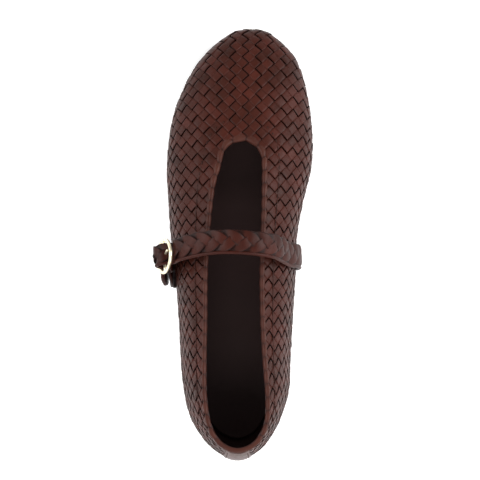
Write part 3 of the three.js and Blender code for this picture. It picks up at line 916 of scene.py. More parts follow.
@dataclass
class PlaitNet:
    """The square net of the strips, laid on a flat pattern of the upper and looked up on the last."""

    last: Last
    strip: float = 5.4
    past_feather: float = 1.5
    past_rim: float = 1.2
    ribs: int = 160
    rows: int = 14
    straight_behind: float = 0.30
    straight_from: float = 0.45
    seam_margin: float = 0.002
    fineness: int = 4

    def __post_init__(self) -> None:
        """Charts the place and the climb of every node of a finer net."""
        corners = [self._triangles(self._develop(side)) for side in (-1, 1)]
        at = np.vstack([pair[0] for pair in corners])
        marks = np.vstack([pair[1] for pair in corners])
        self._chart(at, marks)

    def _develop(self, side: int) -> tuple[np.ndarray, np.ndarray, np.ndarray]:
        """Lays one half of the upper flat.

        Args:
            side: -1 for the lateral half and 1 for the medial half.

        Returns:
            Flat points, places of the loop and climbs, for each rib and row.
        """
        last = self.last
        shares = np.linspace(0.5, self.seam_margin, self.ribs // 2 + 1)
        q = shares if side < 0 else 1 - shares
        ribs = last.ribs(q[:, None])
        low = -self.past_feather * self.strip / ribs.length
        high = 1 + self.past_rim * self.strip / ribs.length
        climbs = mix(low, high, np.linspace(0, 1, self.rows + 1)[None, :])
        points = ribs.at(climbs)
        bulge, rim = ribs.bulge[:, 0], ribs.rim[:, 0]
        along = (bulge[:, 1] + last.heel_centre) / last.length
        straight = 1 - smooth_step(along, self.straight_behind, self.straight_from)
        fan = unit((bulge - rim)[:, :2])
        out = unit(mix(fan, np.array([float(side), 0.0]), straight[:, None]))
        edge = rim[:, :2].copy()
        middle = self.rows // 2
        for k in range(1, len(q)):
            if straight[k] > 0:
                step = np.linalg.norm(points[k, middle] - points[k - 1, middle])
                marched = edge[k - 1] - np.array([0.0, step])
                edge[k] = mix(edge[k], marched, 1.0 if straight[k] > 0.5 else straight[k])
        steps = np.linalg.norm(np.diff(points, axis=1), axis=2)
        reach = np.concatenate([np.cumsum(steps[:, ::-1], axis=1)[:, ::-1], np.zeros((len(q), 1))], axis=1)
        flat = edge[:, None] + out[:, None] * (reach - self.past_rim * self.strip)[..., None]
        return flat, np.broadcast_to(q[:, None], climbs.shape), climbs

    def _triangles(self, half: tuple[np.ndarray, np.ndarray, np.ndarray]) -> tuple[np.ndarray, np.ndarray]:
        """Cuts a half into triangles.

        Args:
            half: Flat points, places of the loop and climbs, for each rib and row.

        Returns:
            The triangles' corners on the net, and the places and climbs of those corners.
        """
        flat, q, climbs = half
        net = np.stack([flat[..., 0] + flat[..., 1], flat[..., 0] - flat[..., 1]], axis=-1)
        net *= self.fineness * math.sqrt(0.5) / self.strip
        marks = np.stack([q, climbs], axis=-1)
        at_list, mark_list = [], []
        for source, kept in ((net, at_list), (marks, mark_list)):
            a, b = source[:-1, :-1], source[1:, :-1]
            c, d = source[1:, 1:], source[:-1, 1:]
            kept.append(np.stack([a, b, c], axis=2).reshape(-1, 3, 2))
            kept.append(np.stack([a, c, d], axis=2).reshape(-1, 3, 2))
        return np.vstack(at_list), np.vstack(mark_list)

    def _chart(self, at: np.ndarray, marks: np.ndarray) -> None:
        """Fills the chart of places and climbs from the triangles that hold each node.

        Args:
            at: The triangles' corners on the net.
            marks: Their places and climbs.
        """
        low, high = np.ceil(at.min(axis=1)).astype(int), np.floor(at.max(axis=1)).astype(int)
        self.first = low.min(axis=0)
        size = high.max(axis=0) - self.first + 1
        self.chart = np.full((size[0], size[1], 2), np.nan)
        span = int((high - low).max()) + 1
        steps = np.indices((span, span)).reshape(2, -1).T
        node = low[:, None, :] + steps[None]
        a, b, c = (at[:, k, None, :] for k in range(3))
        area = (b - a)[..., 0] * (c - a)[..., 1] - (c - a)[..., 0] * (b - a)[..., 1]
        area = np.where(np.abs(area) < 1e-9, np.nan, area)
        rel = node - a
        v = (rel[..., 0] * (c - a)[..., 1] - (c - a)[..., 0] * rel[..., 1]) / area
        w = ((b - a)[..., 0] * rel[..., 1] - rel[..., 0] * (b - a)[..., 1]) / area
        slack = -1e-6
        inside = (v >= slack) & (w >= slack) & (1 - v - w >= slack)
        shares = np.stack([1 - v - w, v, w], axis=-1)
        found = np.einsum("nks,nsm->nkm", shares, marks)
        kept = node[inside] - self.first
        self.chart[kept[:, 0], kept[:, 1]] = found[inside]

    def cells(self) -> tuple[np.ndarray, np.ndarray]:
        """The lowest and highest whole cells of the net."""
        last = self.first + np.array(self.chart.shape[:2])
        return np.floor(self.first / self.fineness).astype(int), np.ceil(last / self.fineness).astype(int)

    def look_up(self, u: np.ndarray, v: np.ndarray) -> tuple[np.ndarray, np.ndarray]:
        """Reads the chart between its nodes.

        Args:
            u: Positions on the net along one lay, in cells.
            v: Positions along the other lay, in cells.

        Returns:
            Places of the loop and climbs, which are not a number outside the pattern.
        """
        place = np.stack(np.broadcast_arrays(u, v), axis=-1) * self.fineness - self.first
        node = np.floor(place).astype(int)
        share = place - node
        size = np.array(self.chart.shape[:2])
        inside = np.all((node >= 0) & (node < size - 1), axis=-1)
        node = np.clip(node, 0, size - 2)
        x, y = node[..., 0], node[..., 1]
        sx, sy = share[..., :1], share[..., 1:]
        low = mix(self.chart[x, y], self.chart[x + 1, y], sx)
        high = mix(self.chart[x, y + 1], self.chart[x + 1, y + 1], sx)
        found = np.where(inside[..., None], mix(low, high, sy), np.nan)
        return found[..., 0], found[..., 1]


# Cross-section of a strip of the upper, from its edge inward: the place in cells, how far the edge is rounded
# off in millimetres, and how much edge ink and painted shade it takes. The first point is on the strip's
# underside.
STRIP_INSET = (0.0, 0.0, 0.03, 0.2)
STRIP_ROUNDING = (0.0, 0.1, 0.02, 0.0)
STRIP_INK_AND_SHADE = (1.0, 0.8, 0.25, 0.0)
# Rows of points along each cell of a strip, closest where it dives
CELL_ROWS = (-0.5, -0.46, -0.42, -0.25, 0.0, 0.25, 0.42, 0.46)
STITCH_TAPER = (0.5, 1.0, 1.0, 1.0, 0.5)


@dataclass
class Upper:
    """The plaited upper: strips in two directions, the lining behind them, the turned edge and the back.

    Widths, depths and heights are millimetres. What is called ink or shade is a share of the dark colour that
    is mixed in as edge ink and painted shade, and what is called spread is the standard deviation of a chance
    draw.
    """

    last: Last
    net: PlaitNet
    wall: float = 1.7
    strip_relief: float = 0.8
    strip_thickness: float = 0.78
    strip_gap: float = 0.34
    dive_from: float = 0.42
    dive_to: float = 0.53
    tuck_from: float = 0.47
    tuck_to: float = 0.62
    sink: float = 0.06
    tilt: float = 0.24
    crown: float = 0.12
    strip_end: float = 0.45
    tuck_shade: float = 0.08
    dive_shade: float = 0.6
    flush_ink: float = 0.1
    tint_spread: float = 0.16
    lane_tint_spread: float = 0.14
    lift_spread: float = 0.05
    lean_spread: float = 0.09
    sway_spread: float = 0.016
    lining_behind: float = 0.8
    lining_foot: float = -0.035
    binding_width: float = 2.4
    edge_rows: int = 1200
    edge_sides: int = 18
    edge_shade: float = 0.7
    shade_margin: float = 0.4
    roll_down: float = 0.70
    roll_in: float = 1.15
    roll_high: float = 1.30
    roll_deep: float = 1.40
    scallop_height: float = 0.62
    scallop_middle: float = 0.6
    scallop_roll: float = 0.6
    valley: float = 0.3
    heel_scallop: float = 0.7
    heel_fade: tuple[float, float] = (0.03, 0.09)
    seam_from_edge: float = 7.6
    seam_depth: float = 0.34
    seam_width: float = 1.1
    back_width: float = 16.0
    back_proud: float = 0.5
    back_behind: float = 1.2
    back_round: float = 0.55
    back_round_power: int = 12
    back_cover: float = 0.8
    back_seam_at: float = 0.82
    back_seam_depth: float = 0.22
    back_seam_width: float = 0.05
    stitch_pitch: float = 3.0
    stitch_length: float = 2.1
    stitch_width: float = 0.5
    rim_stitch: tuple[float, float, float] = (-0.30, -0.08, -0.30)
    back_stitch: tuple[float, float, float] = (0.22, 0.42, 0.22)

    def depth(self) -> float:
        """Depth of the inner face under the crest of the plait."""
        return self.wall + self.strip_relief

    def back_reach(self) -> float:
        """Measures the back strip on the loop.

        Returns:
            Half its width, as a share of the loop.
        """
        span = 0.01
        ends = self.last.bulge(np.array([span, -span]))
        return float(span * self.back_width / np.linalg.norm(ends[0] - ends[1]))

    def _seam(self, q: np.ndarray, climb: np.ndarray) -> np.ndarray:
        """How far the seam round the opening presses the plait in."""
        from_edge = (1 - climb) * self.last.ribs(q).length
        return self.seam_depth * np.exp(-((from_edge - self.seam_from_edge) / self.seam_width) ** 2)

    def strips(self, lay: Lay) -> bpy.types.Object:
        """Plaits the strips that run one way.

        Args:
            lay: The direction of the strips.

        Returns:
            The piece that holds them all, each a closed ribbon.
        """
        rng = np.random.default_rng(SEED + lay.value)
        low, high = self.net.cells()
        if lay is Lay.TO_LATERAL:
            low, high = low[::-1], high[::-1]
        half = 0.5 - self.strip_gap / self.net.strip / 2
        inset = np.array(STRIP_INSET)
        across = np.concatenate([inset - half, (half - inset)[::-1]])
        drop = self.crown * (across / half) ** 2 + mirrored(STRIP_ROUNDING)
        drop[[0, -1]] = self.strip_thickness
        cells = np.arange(low[0], high[0])
        run = (cells[:, None] + 0.5 + np.array(CELL_ROWS)).reshape(-1)
        count = len(cells) + 1
        shape = Shape()
        for lane in range(low[1], high[1]):
            tints = rng.normal(0.0, self.tint_spread, count) + rng.normal(0.0, self.lane_tint_spread)
            lifts = rng.normal(0.0, self.lift_spread, count)
            leans = rng.normal(0.0, self.lean_spread, count)
            sways = rng.normal(0.0, self.sway_spread, count)
            section, chance = (drop, mirrored(STRIP_INK_AND_SHADE)), (tints, lifts, leans, sways)
            self._strip(shape, lay, lane, run, cells, across, section, chance)
        nodes = ("upper",) if lay is Lay.TO_MEDIAL else ()
        return dress(shape.build(f"plait_{lay.name.lower()}", sharp=58.0), STRIP_LEATHER, *nodes)

    def _strip(
        self,
        shape: Shape,
        lay: Lay,
        lane: int,
        run: np.ndarray,
        cells: np.ndarray,
        across: np.ndarray,
        section: tuple[np.ndarray, np.ndarray],
        chance: tuple[np.ndarray, ...],
    ) -> None:
        """Adds one strip of the plait.

        Args:
            shape: Gathers the points and faces.
            lay: The direction of the strip.
            lane: The strip's number among its neighbours.
            run: Positions along the strip, in cells.
            cells: Numbers of the cells that it may cross.
            across: Positions across the strip, in cells.
            section: How far each of those lies under the strip's crown, and how much edge ink and painted
                shade
            its edge takes.
            chance: Tint, lift, lean and sway of the strip in each cell.
        """
        tints, lifts, leans, sways = chance
        drop, ink = section
        cell = np.clip(np.floor(run + 1e-6).astype(int) - cells[0], 0, len(cells) - 1)
        phase = (run - 0.5 + lane + lay.value + 1) % 2 - 1
        centres = cells + 0.5
        lift, lean, sway = (np.interp(run, centres, values[:-1]) for values in (lifts, leans, sways))
        side = lane + 0.5 + across[None, :] + sway[:, None]
        q, climb, known = self._places(lay, run, side)
        if not known.any():
            return
        uphill, away_down = self._slopes(q, climb, run, across, phase)
        side = side - uphill * self.strip_gap / self.net.strip / 2
        q, climb, known = self._places(lay, run, side)
        length = self.last.ribs(q).length
        dive = smooth_step(np.abs(phase), self.dive_from, self.dive_to)
        tuck = smooth_step(np.abs(phase), self.tuck_from, self.tuck_to)
        fall = mix(tuck, dive, away_down) * (self.strip_thickness + self.sink)
        top = 1 - self.strip_end * self.binding_width / length
        leant = (lean[:, None] + self.tilt * uphill) * across[None, :] * 2
        out = lift[:, None] + leant - drop[None, :] - fall[:, None]
        covered = self.back_reach() * self.back_cover
        hidden = (q + covered) % 1.0 < covered * 2
        keep = all_corners(known)
        for outside in (climb > top, climb < 0, hidden):
            keep &= ~all_corners(outside)
        if not keep.any():
            return
        climb = np.clip(climb, 0.0, top)
        points = self.last.skin(q, climb, out - self._seam(q, climb))
        # Painted shade where the strip falls into a dive and on edges that face uphill; flush edges keep a
        # little edge ink.
        sunk_shade = np.clip(fall / self.strip_thickness, 0, 1) ** 2 * mix(self.tuck_shade, self.dive_shade, away_down)
        proud = 0.5 + 0.5 * uphill * np.sign(across)[None, :]
        ink_and_painted_shade = np.maximum(sunk_shade[:, None], ink[None, :] * mix(self.flush_ink, 1.0, proud))
        tone_and_highlight = np.clip(tints[cell], -1, 1)[:, None]
        shape.add_grid(points, around=True, keep=keep, values={
            "ink_and_painted_shade": np.broadcast_to(ink_and_painted_shade, points.shape[:2]),
            "tone_and_highlight": np.broadcast_to(tone_and_highlight, points.shape[:2])})

    def _places(
        self,
        lay: Lay,
        run: np.ndarray,
        side: np.ndarray,
    ) -> tuple[np.ndarray, np.ndarray, np.ndarray]:
        """Looks up where a strip lies.

        Args:
            lay: The direction of the strip.
            run: Positions along the strip, in cells.
            side: Positions across the strips, in cells, for each position along.

        Returns:
            Places of the loop, climbs, and which of them are on the pattern.
        """
        u, v = (run[:, None], side) if lay is Lay.TO_MEDIAL else (side, run[:, None])
        q, climb = self.net.look_up(u, v)
        known = np.isfinite(q)
        return np.where(known, q, 0.0), np.where(known, climb, 0.5), known

    def _slopes(
        self,
        q: np.ndarray,
        climb: np.ndarray,
        run: np.ndarray,
        across: np.ndarray,
        phase: np.ndarray,
    ) -> tuple[np.ndarray, np.ndarray]:
        """Finds which way is up for a strip.

        Args:
            q: Places of the loop.
            climb: 0 at the feather line and 1 at the rim.
            run: Positions along the strip, in cells.
            across: Positions across the strip, in cells.
            phase: Position before or after the nearest float's crest, in cells.

        Returns:
            How far up the wall the strip's last edge looks, from -1 to 1, and how far down the wall it runs
            on its way from the crest, from 0 to 1.
        """
        length = self.last.ribs(q).length.mean(axis=1)
        full = math.sqrt(0.5) * self.net.strip
        uphill = (climb[:, -1] - climb[:, 0]) * length / (across[-1] - across[0]) / full
        onward = np.gradient(climb.mean(axis=1), run) * length / full
        away_down = 0.5 - 0.5 * np.sign(phase) * np.clip(onward, -1, 1)
        return np.clip(uphill, -1, 1)[:, None], away_down

    def lining(self) -> bpy.types.Object:
        """Makes the smooth leather behind the plait, a thin closed shell from the sole to the rim.

        Returns:
            The piece.
        """
        q = np.linspace(0, 1, 361)[:-1, None]
        climb = np.linspace(self.lining_foot, 1.0, 25)[None, :]
        outer = self.last.skin(q, climb, -self.strip_relief - self.lining_behind)
        inner = self.last.skin(q, climb[:, ::-1], -self.depth())
        shape = Shape()
        shape.add_grid(np.concatenate([outer, inner], axis=1), around=True, looped=True)
        return dress(shape.build("lining", sharp=60.0), SOCK_LEATHER)

    def edge(self) -> bpy.types.Object:
        """Makes the edge strip that is turned over the rim, from the face of the plait to the lining.

        Returns:
            The piece.
        """
        q = (np.arange(self.edge_rows) / self.edge_rows)[:, None]
        length = self.last.ribs(q).length
        turn = turns(self.edge_sides)[None, :]
        scallop = self._scallop(q)
        ripple = self.scallop_height * (scallop - self.scallop_middle)
        down = self.roll_down + (self.roll_high + self.scallop_roll * ripple) * np.cos(turn)
        out = -self.roll_in + (self.roll_deep + ripple) * np.sin(turn)
        points = self.last.skin(q, 1 - down / length, out)
        # Painted shade in the valleys between the bumps and on the part turned inside the shoe; painted
        # highlight on the bumps.
        valleys = np.clip(1 - scallop / self.valley, 0, 1)
        inside = out < self.shade_margin - self.depth()
        shape = Shape()
        shape.add_grid(points, around=True, looped=True, values={
            "ink_and_painted_shade": self.edge_shade * np.maximum(inside, valleys),
            "tone_and_highlight": np.broadcast_to(ripple, points.shape[:2])})
        return dress(shape.build("turned_edge", sharp=70.0), EDGE_LEATHER)

    def _scallop(self, q: np.ndarray) -> np.ndarray:
        """The bumps of the turned edge, one where each strip folds over it. They fade out at the heel back.

        Args:
            q: Places of the loop.

        Returns:
            0 between two bumps and 1 on top of one, for each place.
        """
        wave = self.net.strip * math.sqrt(2.0)
        bumps = np.abs(np.sin(math.pi * self._reach(q) / wave))
        from_heel = np.minimum(q % 1.0, 1 - q % 1.0)
        return mix(self.heel_scallop, bumps, smooth_step(from_heel, *self.heel_fade))

    def _reach(self, q: np.ndarray) -> np.ndarray:
        """Distance round the rim from the heel back.

        Args:
            q: Places of the loop.

        Returns:
            A distance for each place.
        """
        fine = np.linspace(0, 1, RIM_SAMPLES)
        points = self.last.rim(fine)
        reach = np.concatenate([[0.0], np.cumsum(np.linalg.norm(np.diff(points, axis=0), axis=1))])
        return np.interp(q, fine, reach)

    def back_strip(self) -> bpy.types.Object:
        """Makes the smooth strip over the seam at the heel back.

        Returns:
            The piece.
        """
        columns = np.linspace(-1, 1, 19)
        q = self.back_reach() * columns[None, :]
        top = 1 - 0.5 * self.binding_width / self.last.ribs(np.array(0.0)).length
        climb = np.linspace(0.0, top, 41)[:, None]
        rounded = self.back_proud - self.back_round * np.abs(columns) ** self.back_round_power
        from_seam = (np.abs(columns) - self.back_seam_at) / self.back_seam_width
        seam = self.back_seam_depth * np.exp(-from_seam ** 2)
        outer = self.last.skin(q, climb, (rounded - seam)[None, :])
        inner = self.last.skin(q[:, ::-1], climb, -self.back_behind)
        shape = Shape()
        shape.add_grid(np.concatenate([outer, inner], axis=1), around=True, capped=True)
        return dress(shape.build("back_strip", sharp=50.0), EDGE_LEATHER)

    def stitches(self) -> bpy.types.Object:
        """Sews rows of stitches: one round the opening beside the turned edge, and two down the back strip.

        Returns:
            The piece that holds them all.
        """
        shape = Shape()
        fine = np.linspace(0, 1, RIM_SAMPLES)
        lengths, reach = self.last.ribs(fine).length, self._reach(fine)
        total = float(reach[-1])
        count = int(total / self.stitch_pitch)
        half = self.stitch_length / total / 2
        for q in np.interp(np.arange(count) / count * total, reach, fine):
            climb = 1 - self.seam_from_edge / float(np.interp(q, fine, lengths))
            self._stitch(shape, np.array([q - half, q, q + half]), climb, self.rim_stitch)
        back_length = float(lengths[0])
        half = self.stitch_length / self.stitch_pitch / 2
        for side in (-self.back_seam_at, self.back_seam_at):
            for k in range(1, int(back_length / self.stitch_pitch) - 1):
                climb = (k + 0.5 + np.array([-half, 0.0, half])) * self.stitch_pitch / back_length
                self._stitch(shape, side * self.back_reach(), climb, self.back_stitch)
        return dress(shape.build("stitches", sharp=80.0), WAXED_THREAD)

    def _stitch(self, shape: Shape, q: Any, climb: Any, out: Sequence[float]) -> None:
        """Adds one stitch, a short round thread through three points.

        Args:
            shape: Gathers the points and faces.
            q: Places of the loop of its points.
            climb: Their climbs.
            out: Their distances outward.
        """
        route = Route(self.last.skin(q, climb, np.array(out)))
        share = np.linspace(0, 1, len(STITCH_TAPER))
        sweep_round(shape, route.at(share), self.stitch_width / 2 * np.array(STITCH_TAPER), 6)


def all_corners(marked: np.ndarray) -> np.ndarray:
    """Finds the faces of a closed strip whose four corners are all marked.

    Args:
        marked: Whether each point is marked, by row and column. The last column meets the first.

    Returns:
        Whether each face has only marked corners.
    """
    marked = np.hstack([marked, marked[:, :1]])
    rows = marked[:-1] & marked[1:]
    return rows[:, :-1] & rows[:, 1:]


def sweep_round(shape: Shape, path: np.ndarray, radius: np.ndarray, sides: int, looped: bool = False) -> None:
    """Adds a round wire along a path.

    Args:
        shape: Gathers the points and faces.
        path: Points of the wire's middle line.
        radius: The wire's radius at each point.
        sides: How many sides the wire has.
        looped: True if the wire closes on itself.
    """
    if looped:
        along = unit(np.roll(path, -1, axis=0) - np.roll(path, 1, axis=0))
    else:
        along = unit(np.gradient(path, axis=0))
    # Any direction does that no wire starts in
    normal = unit(np.cross(along[0], np.array([0.31, 0.47, 0.83])))
    normals = []
    for direction in along:
        normal = unit(normal - direction * np.dot(normal, direction))
        normals.append(normal)
    first = np.array(normals)
    second = np.cross(along, first)
    angle = turns(sides)
    ring = first[:, None] * np.cos(angle)[None, :, None] + second[:, None] * np.sin(angle)[None, :, None]
    points = path[:, None] + ring * radius[:, None, None]
    shape.add_grid(points, around=True, looped=looped, capped=not looped)


# Outsole, heel and insole


# Rounded edge of a slab, from its lower face up: how far in, as a share of the rounding, and how high, as a
# share of the thickness
SLAB_EDGE = ((1.0, 0.0), (0.3, 0.14), (0.0, 0.30), (0.0, 0.70), (0.3, 0.86), (1.0, 1.0))


@dataclass
class Sole:
    """The outsole, the low heel under it and the insole inside the wall."""

    last: Last
    margin: float = 0.8
    heel_inset: float = 0.4
    heel_length: float = 60.0
    breast_slant: float = 5.0
    insole_thickness: float = 2.4
    insole_clearance: float = 0.9
    inner_depth: float = 2.5
    slope_reach: float = 6.0
    fit_gap: float = 0.3
    rungs: int = 240
    edge_round: float = 0.55
    edge_reach: float = 1.6
    whole: tuple[float, float] = (0.5, 0.5)
    sock_spread: float = 0.5
    sock_dish: float = 0.5
    dish_width: float = 40.0
    steepest: float = 0.6

    def _slab(
        self,
        outline: Callable[[np.ndarray, Any], np.ndarray],
        low: Callable[[np.ndarray], np.ndarray],
        high: Callable[[np.ndarray], np.ndarray],
        ends: tuple[float, float],
        dish: float = 0.0,
    ) -> Shape:
        """A slab with rounded edges between two surfaces that are given over the shoe's length.

        Args:
            outline: The slab's outline, from places of the loop and a distance outward.
            low: Height of the lower face at a Y.
            high: Height of the upper face at a Y.
            ends: The last place of the loop, of the lower face and of the upper face.
            dish: How far the middle of the upper face is hollowed.

        Returns:
            The slab's shape.
        """
        rounding = [(-self.edge_round * inward, rise) for inward, rise in SLAB_EDGE]
        edge = [(-self.edge_reach, 0.0), *rounding, (-self.edge_reach, 1.0)]
        share = 0.5 - 0.5 * np.cos(math.pi * np.linspace(0, 1, self.rungs + 1))
        left, right = [], []
        for out, rise in edge:
            q = share * mix(ends[0], ends[1], rise)
            for side, kept in ((q, left), (1 - q, right)):
                points = outline(side, out)
                points[:, 2] = mix(low(points[:, 1]), high(points[:, 1]), rise)
                kept.append(points)
        inner = np.linspace(0, 1, 9)[1:-1]
        floor = [mix(left[0], right[0], k) for k in inner]
        roof = [mix(right[-1], left[-1], k) for k in inner]
        width = np.linalg.norm(right[-1] - left[-1], axis=1)
        for k, points in zip(inner, roof):
            points[:, 2] -= dish * np.minimum(width / self.dish_width, 1.0) * 4 * k * (1 - k)
        section = left[::-1] + floor + right + roof
        shape = Shape()
        shape.add_grid(np.stack(section, axis=1), around=True)
        return shape

    def _sole_edge(self, q: np.ndarray, out: Any) -> np.ndarray:
        """The outsole's outline at places of the loop, moved outward."""
        return self.last.feather(q, self.margin + out)

    def _heel_edge(self, q: np.ndarray, out: Any) -> np.ndarray:
        """The heel's outline at places of the loop, moved outward."""
        return self.last.feather(q, self.margin - self.heel_inset + out)

    def _sock_edge(self, q: np.ndarray, out: Any) -> np.ndarray:
        """The sock's outline at places of the loop, moved outward."""
        return self.last.feather(q, out + self.sock_spread - self._foot_width(q) - self.insole_clearance)

    def _heel_roof(self, y: np.ndarray) -> np.ndarray:
        """Height of the heel's upper face at places along the shoe."""
        return self.last.under(y) - self.fit_gap

    def _sock_floor(self, y: np.ndarray) -> np.ndarray:
        """Height of the insole's lower face at places along the shoe."""
        return self.last.top(y) + self.fit_gap

    def _sock_roof(self, y: np.ndarray) -> np.ndarray:
        """Height of the insole's upper face at places along the shoe."""
        return self._sock_floor(y) + self.insole_thickness

    def _foot_width(self, q: np.ndarray) -> np.ndarray:
        """Measures the wall at the insole.

        Args:
            q: Places of the loop.

        Returns:
            How far its inner face lies inside the feather line, for each place.
        """
        ribs = self.last.ribs(q)
        lean = unit(ribs.low - ribs.feather)
        flare = np.hypot(lean[:, 0], lean[:, 1]) / lean[:, 2]
        inside = self.last.feather(q, -self.slope_reach)
        fall = np.maximum(0, (ribs.feather[:, 2] - inside[:, 2]) / self.slope_reach)
        return self.inner_depth / lean[:, 2] / (1 - np.minimum(fall * flare, self.steepest))

    def outsole(self) -> bpy.types.Object:
        """Makes the outsole, with its toe spring and its waist raised to the heel.

        Returns:
            The piece.
        """
        shape = self._slab(self._sole_edge, self.last.under, self.last.top, self.whole)
        return dress(shape.build("outsole_leather", sharp=35.0), SOLE_LEATHER, "outsole")

    def heel(self) -> bpy.types.Object:
        """Makes the stacked heel, flat on the floor, with a slanted breast.

        Returns:
            The piece.
        """
        q = np.linspace(0.0, 0.5, LOOP_SAMPLES)
        reach = self._heel_edge(q, 0.0)[:, 1]
        top_end = float(np.interp(reach[0] + self.heel_length, reach, q))
        floor_end = float(np.interp(reach[0] + self.heel_length - self.breast_slant, reach, q))
        shape = self._slab(self._heel_edge, np.zeros_like, self._heel_roof, (floor_end, top_end))
        return dress(shape.build("heel_stack", sharp=35.0), HEEL_LEATHER, "heel")

    def insole(self) -> bpy.types.Object:
        """Makes the sock over the insole board, dished a little under the foot.

        Returns:
            The piece.
        """
        shape = self._slab(self._sock_edge, self._sock_floor, self._sock_roof, self.whole, self.sock_dish)
        return dress(shape.build("sock", sharp=35.0), SOCK_LEATHER, "insole")


# Strap, tab and buckle


# The prong from the bar to its tip: the share of its length and the share of its full radius
PRONG_TAPER = (
    (0.0, 0.5), (0.02, 0.85), (0.06, 1.0), (0.3, 1.0), (0.6, 1.0), (0.8, 0.94), (0.9, 0.85), (0.96, 0.7),
    (0.99, 0.45), (1.0, 0.2),
)


@dataclass
class Buckle:
    """The centre-bar buckle: an oval ring, its bar and the prong."""

    last: Last
    ring_length: float = 26.0
    ring_width: float = 20.0
    wire: float = 2.0
    bar: float = 1.8
    prong: float = 1.6
    lean: float = 20.0
    rake: float = 16.0
    slack: float = 1.5
    at_along: float = 0.470
    at_up: float = 0.605
    strap_thickness: float = 2.8
    tab_thickness: float = 2.4
    fit_gap: float = 0.3
    ring_clearance: float = 0.5
    strap_bulge: float = 2.6
    tab_clearance: float = 0.3

    def __post_init__(self) -> None:
        """Sets the buckle's own axes: down the strap, out from the wall and along the shoe."""
        lean, rake = math.radians(self.lean), math.radians(self.rake)
        self.down = unit(np.array([-math.sin(lean), -math.sin(rake), -math.cos(lean)]))
        out = unit(np.array([-math.cos(lean), 0.0, math.sin(lean)]))
        self.out = unit(out - self.down * np.dot(out, self.down))
        self.along = unit(np.cross(self.out, self.down))
        self.reach = (self.ring_length - self.wire) / 2
        self.half = (self.ring_width - self.wire) / 2
        stack = self.tab_thickness + self.strap_thickness + 3 * self.fit_gap + self.wire / 2 + self.slack
        place = self.last.place_at(self.last.y_at(self.at_along))
        side = self.last.bulge(np.array(place))
        self.centre = np.array([
            side[0] - stack + self.reach * math.sin(lean), side[1], self.at_up * self.last.collar_height])
        self.strap_under_ring = -(self.wire / 2 + self.ring_clearance + self.strap_thickness / 2)
        self.strap_over_bar = self.bar / 2 + self.fit_gap + self.strap_thickness / 2 + self.strap_bulge
        self.tab_under_strap = (self.strap_under_ring - self.strap_thickness / 2 - self.fit_gap
                                - self.tab_thickness / 2 - self.tab_clearance)
        self.tab_under_bar = -(self.bar / 2 + self.fit_gap + self.tab_thickness / 2)

    def at(self, down: Any, out: Any, along: Any = 0.0) -> np.ndarray:
        """Points in the buckle's own axes, measured from its centre."""
        parts = zip((down, out, along), (self.down, self.out, self.along))
        return self.centre + sum(np.asarray(size, float)[..., None] * axis for size, axis in parts)

    def frame_piece(self) -> bpy.types.Object:
        """Makes the ring of round wire and the bar across it.

        Returns:
            The piece.
        """
        shape = Shape()
        turn = turns(160)
        path = self.at(self.reach * np.cos(turn), np.zeros_like(turn), self.half * np.sin(turn))
        sweep_round(shape, path, np.full(len(turn), self.wire / 2), 20, looped=True)
        side = np.linspace(-self.half, self.half, 13)
        bar = self.at(np.zeros_like(side), np.zeros_like(side), side)
        sweep_round(shape, bar, np.full(len(side), self.bar / 2), 16)
        return dress(shape.build("buckle_ring_and_bar", sharp=60.0), POLISHED_BRASS, "buckle_frame")

    def prong_piece(self) -> bpy.types.Object:
        """Makes the prong, from the bar to its rest on the ring's upper rim, with a rounded and tapered tip.

        Returns:
            The piece.
        """
        start = self.at(-self.bar / 2 - self.fit_gap, 0.0)
        rest = self.at(-self.reach, (self.wire + self.prong) / 2 + self.fit_gap)
        tip = rest + unit(rest - start) * self.wire
        share, radius = np.array(PRONG_TAPER).T
        shape = Shape()
        sweep_round(shape, mix(start, tip, share[:, None]), self.prong / 2 * radius, 14)
        return dress(shape.build("prong", sharp=70.0), POLISHED_BRASS, "buckle_prong")


# Cross-section of a strip of a band: the place across as a share of its width, how far it lies under its
# crown as a share of its thickness, and how much of the edge ink it took
BAND_ACROSS = (-0.5, -0.5, -0.46, -0.40, -0.2, 0.0, 0.2, 0.40, 0.46, 0.5, 0.5)
BAND_DROP = (1.0, 0.42, 0.22, 0.10, 0.02, 0.0, 0.02, 0.10, 0.22, 0.42, 1.0)
BAND_INK = (1.0, 1.0, 0.75, 0.05, 0.0, 0.0, 0.0, 0.05, 0.75, 1.0, 1.0)
# Round the section of a flat length of leather: the share of half its width, and the share of its thickness
FLAT_SECTION = (
    (-1.0, 0.5), (-0.985, 0.85), (-0.93, 1.0), (0.0, 1.0), (0.93, 1.0), (0.985, 0.85),
    (1.0, 0.5), (0.985, 0.1), (0.93, 0.0), (-0.93, 0.0), (-0.985, 0.1),
)


